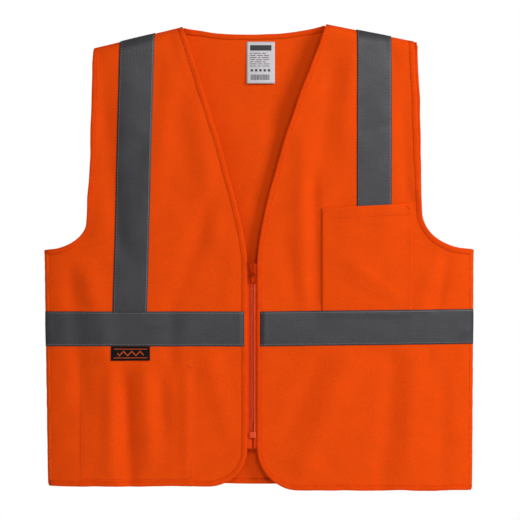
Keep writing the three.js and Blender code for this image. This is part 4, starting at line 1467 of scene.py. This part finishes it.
class VEST_OT_bindings(bpy.types.Operator):
    """Folds the binding over every edge, and stitches it down"""
    bl_idname = "vest.bindings"
    bl_label = "Bindings"

    def execute(self, context):
        sizes, ribbon = context.scene.vest_sizes, finish_of(binding_ribbon)
        seams = []
        for side in SIDES:
            stations = front_edge_stations(side)
            nodes = [f"{side.name}_{part}" for part in (
                "neck_binding", "front_edge_binding", "hem_binding_edge", "hem_binding_side")]
            blend_over_fold(binding(f"{side.name}_front_binding", stations, nodes, sizes, ribbon))
            sewn_on_front(f"{side.name}_front_binding_stitches", [binding_seam(stations, sizes)], sizes,
                          orange_thread)
            stations = armhole_stations(side)
            nodes = [f"{side.name}_armhole_binding_front", f"{side.name}_armhole_binding_back"]
            made = binding(f"{side.name}_armhole_ribbon", stations, nodes, sizes, ribbon, closed=True)
            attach(made, "root")
            seams.append(binding_seam(stations, sizes))
        for name, stations, nodes in (
                ("back_neck_ribbon", back_neck_stations(), ["back_neck_binding"]),
                ("back_hem_ribbon", back_hem_stations(),
                 ["back_hem_binding", "right_hem_binding_back", "left_hem_binding_back"])):
            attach(binding(name, stations, nodes, sizes, ribbon), "root")
            seams.append(binding_seam(stations, sizes))
        sewn_on_root("ribbon_stitches", seams, sizes, orange_thread)
        return {"FINISHED"}


class VEST_OT_tapes(bpy.types.Operator):
    """Lays the reflective tapes and stitches them along both edges"""
    bl_idname = "vest.tapes"
    bl_label = "Reflective Tapes"

    def execute(self, context):
        sizes, tape = context.scene.vest_sizes, finish_of(glass_bead_tape)
        seams = [seam for side in SIDES for seam in shoulder_tape(side, sizes, tape)]
        waist = add_waist_tapes(sizes, tape)
        for side in SIDES:
            sewn_on_front(f"{side.name}_waist_band_stitches", waist[side.name], sizes, grey_thread)
        sewn_on_root("tape_stitches", seams + waist["back"], sizes, grey_thread)
        return {"FINISHED"}


class VEST_OT_pockets(bpy.types.Operator):
    """Sews on the chest pocket and the inner pocket"""
    bl_idname = "vest.pockets"
    bl_label = "Pockets"

    def execute(self, context):
        sizes, knit = context.scene.vest_sizes, finish_of(knit_polyester)
        chest_pocket(sizes, knit)
        inner_pocket(sizes, knit)
        sewn_on_root("chest_pocket_stitches", chest_pocket_seams(sizes), sizes, orange_thread)
        sewn_on_front("inner_pocket_stitches", inner_pocket_seams(sizes), sizes, orange_thread)
        return {"FINISHED"}


class VEST_OT_labels(bpy.types.Operator):
    """Adds the woven label and the printed care label"""
    bl_idname = "vest.labels"
    bl_label = "Labels"

    def execute(self, context):
        woven_label(context.scene.vest_sizes, finish_of(woven_damask))
        care_label(context.scene.vest_sizes, finish_of(satin_ribbon), finish_of(printed_ink))
        return {"FINISHED"}


class VEST_OT_zip(bpy.types.Operator):
    """Makes the zip: tapes, teeth, ends, slider and pull tab"""
    bl_idname = "vest.zip"
    bl_label = "Zip"

    def execute(self, context):
        sizes = context.scene.vest_sizes
        for side in SIDES:
            zip_tape(side, sizes, finish_of(woven_zip_tape))
            zip_coil(side, sizes, finish_of(moulded_nylon))
        zip_ends(finish_of(moulded_nylon), finish_of(enamelled_zinc))
        zip_slider(finish_of(enamelled_zinc))
        pull_tab(finish_of(enamelled_zinc))
        return {"FINISHED"}


OPERATORS = (VEST_OT_stage, VEST_OT_cloth, VEST_OT_seams, VEST_OT_bindings, VEST_OT_tapes, VEST_OT_pockets,
             VEST_OT_labels, VEST_OT_zip)


class VEST_PT_panel(bpy.types.Panel):
    """The vest's sizes, colours and pieces"""
    bl_idname = "VEST_PT_panel"
    bl_label = "Safety Vest"
    bl_space_type = "VIEW_3D"
    bl_region_type = "UI"
    bl_category = "Vest"

    def draw(self, context):
        for group in (context.scene.vest_sizes, context.scene.vest_colours):
            column = self.layout.column(align=True)
            for name in group.__annotations__:
                column.prop(group, name)
        for operator in OPERATORS:
            self.layout.operator(operator.bl_idname)


CLASSES = (VestSizes, VestColours, *OPERATORS, VEST_PT_panel)


def register():
    for made in CLASSES:
        bpy.utils.register_class(made)
    bpy.types.Scene.vest_sizes = bpy.props.PointerProperty(type=VestSizes)
    bpy.types.Scene.vest_colours = bpy.props.PointerProperty(type=VestColours)


def unregister():
    del bpy.types.Scene.vest_colours
    del bpy.types.Scene.vest_sizes
    for made in reversed(CLASSES):
        bpy.utils.unregister_class(made)


def main():
    register()
    bpy.ops.vest.stage()
    bpy.ops.vest.cloth()
    bpy.ops.vest.seams()
    bpy.ops.vest.bindings()
    bpy.ops.vest.tapes()
    bpy.ops.vest.pockets()
    bpy.ops.vest.labels()
    bpy.ops.vest.zip()


if __name__ == "__main__":
    main()
